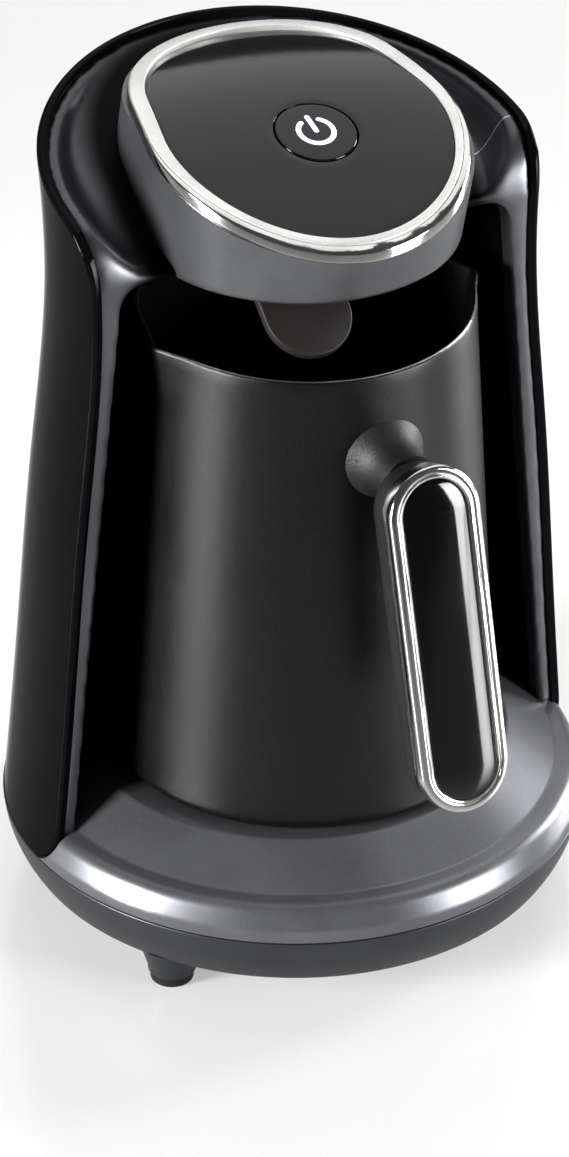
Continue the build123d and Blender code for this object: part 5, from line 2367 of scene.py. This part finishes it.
@dataclass
class Studio:
    """Pale floor, soft lamps, a plain world and the camera, in metres."""

    floor_size: float = 8.0
    floor_tone: float = 0.5
    floor_rough: float = 0.16
    place: Spot = (-0.54801, -1.05890, 0.83258)
    right: Spot = (0.89133, -0.45329, 0.00771)
    up: Spot = (0.23303, 0.47267, 0.84987)
    ahead: Spot = (0.38888, 0.75572, -0.52694)
    lens: float = 155.85
    sensor: float = 36.0
    sight: float = 50.0
    world_level: float = 0.07
    mirrored_level: float = 0.3
    # The floor's glow rises from near to far; the weaker glow near the machine is a painted
    # shadow.
    near: float = 0.12
    far: float = 0.9
    near_level: float = 0.4
    far_level: float = 0.7
    soft_boxes: tuple[Lamp, ...] = (
        Lamp("top_box", (0.75, 1.0, 1.95), (2.5, 2.8), 27.0, (0.0, 0.25, 0.1), 180.0),
        Lamp("left_box", (-1.6, -0.05, 0.42), (0.4, 0.7), 6.0),
        Lamp("right_box", (1.6, 0.1, 0.5), (0.4, 0.8), 2.8),
        Lamp("front_right_box", (1.1, -1.25, 0.4), (0.6, 0.8), 3.2),
    )

    def floor(self) -> None:
        """A pale, slightly glossy floor whose glow paints a shadow round the machine."""
        deselect()
        bpy.ops.mesh.primitive_grid_add(x_subdivisions=8, y_subdivisions=8, size=self.floor_size)
        floor = bpy.context.object
        floor.name = "studio_floor"
        material = bpy.data.materials.new("studio_floor")
        material.use_nodes = True
        tree = material.node_tree
        shader = tree.nodes[SURFACE]
        preset(shader, "Base Color", (*(3 * (self.floor_tone,)), 1.0))
        preset(shader, "Roughness", self.floor_rough)
        glow = new_node(tree, "ShaderNodeEmission")
        level = new_node(tree, "ShaderNodeMath", operation="MULTIPLY")
        tree.links.new(self._seen_level(tree), level.inputs[0])
        tree.links.new(self._glow_level(tree), level.inputs[1])
        tree.links.new(level.outputs[0], glow.inputs["Strength"])
        total = new_node(tree, "ShaderNodeAddShader")
        tree.links.new(shader.outputs[0], total.inputs[0])
        tree.links.new(glow.outputs[0], total.inputs[1])
        tree.links.new(total.outputs[0], tree.nodes["Material Output"].inputs["Surface"])
        floor.data.materials.append(material)

    def _seen_level(self, tree: Tree) -> Socket:
        """How much of the floor's glow each kind of ray sees: the camera's rays all of it.

        Args:
            tree: The floor's nodes.

        Returns:
            The socket that gives the share.
        """
        path = new_node(tree, "ShaderNodeLightPath")
        mirrored = new_node(tree, "ShaderNodeMath", operation="MAXIMUM")
        tree.links.new(path.outputs["Is Glossy Ray"], mirrored.inputs[0])
        tree.links.new(path.outputs["Is Transmission Ray"], mirrored.inputs[1])
        shown = new_node(tree, "ShaderNodeMath", operation="MULTIPLY_ADD")
        preset(shown, 1, self.mirrored_level)
        tree.links.new(mirrored.outputs[0], shown.inputs[0])
        tree.links.new(path.outputs["Is Camera Ray"], shown.inputs[2])
        return shown.outputs[0]

    def _glow_level(self, tree: Tree) -> Socket:
        """The floor's glow, which whitens it and is weaker near the machine: a painted shadow
        round it.

        Args:
            tree: The floor's nodes.

        Returns:
            The socket that gives the strength.
        """
        place = new_node(tree, "ShaderNodeTexCoord")
        away = new_node(tree, "ShaderNodeVectorMath", operation="LENGTH")
        strength = new_node(tree, "ShaderNodeMapRange")
        preset(strength, "From Min", self.near)
        preset(strength, "From Max", self.far)
        preset(strength, "To Min", self.near_level)
        preset(strength, "To Max", self.far_level)
        tree.links.new(place.outputs["Object"], away.inputs[0])
        tree.links.new(away.outputs["Value"], strength.inputs["Value"])
        return strength.outputs["Result"]

    def world(self) -> None:
        """A plain grey world that the camera sees as white, shown without a look."""
        bpy.context.scene.view_settings.view_transform = "Standard"
        world = bpy.data.worlds.new("studio_world")
        bpy.context.scene.world = world
        world.use_nodes = True
        tree = world.node_tree
        back = tree.nodes["Background"]
        preset(back, "Color", (1.0, 1.0, 1.0, 1.0))
        path = new_node(tree, "ShaderNodeLightPath")
        level = new_node(tree, "ShaderNodeMapRange")
        preset(level, "To Min", self.world_level)
        tree.links.new(path.outputs["Is Camera Ray"], level.inputs["Value"])
        tree.links.new(level.outputs["Result"], back.inputs["Strength"])

    def lamps(self) -> None:
        """One large soft box above, and smaller ones left, right and front right."""
        for lamp in self.soft_boxes:
            lamp.hang()

    def camera(self) -> None:
        """The camera at its measured place, without shift or blur."""
        data = bpy.data.cameras.new("camera")
        data.sensor_fit = "VERTICAL"
        data.sensor_height = self.sensor
        data.lens = self.lens
        data.clip_end = self.sight
        camera = bpy.data.objects.new("camera", data)
        bpy.context.collection.objects.link(camera)
        back = tuple(-value for value in self.ahead)
        turn = Matrix((self.right, self.up, back)).transposed()
        camera.matrix_world = Matrix.Translation(self.place) @ turn.to_4x4()
        bpy.context.scene.camera = camera


# ------------------------------------------------------------------ everything in order
def build_all(done: Callable[[str], None]) -> None:
    """Build every piece and the studio.

    Args:
        done: Called with the name of each finished sub-assembly.
    """
    studio = Studio()
    studio.camera()
    studio.world()
    studio.lamps()
    studio.floor()
    done("studio")
    CarriedParts().dress(frame["nodes"])
    done("carried parts")
    shell = Shell()
    base = Base()
    base.tray()
    base.pads()
    base.cover(shell.band())
    base.heater()
    base.inlet()
    done("base")
    shell.build()
    done("shell")
    hood = Hood()
    hood.build()
    hood.niche()
    done("hood")
    head = Head()
    head.side()
    head.ring()
    panel = Panel()
    panel.face()
    panel.button()
    panel.symbol()
    done("head")
    Tongue().build()
    done("tongue")
    pot = Pot()
    pot.body()
    pot.rim()
    pot.disc()
    done("pot")
    handle = Handle()
    handle.frame()
    handle.inlay()
    handle.grip()
    handle.neck(pot)
    done("handle")


def main() -> None:
    """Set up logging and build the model."""
    logging.basicConfig(level=logging.INFO, format="%(message)s")
    build_all(lambda name: LOG.info("-- %s done", name))
    deselect()


if __name__ == "__main__":
    main()
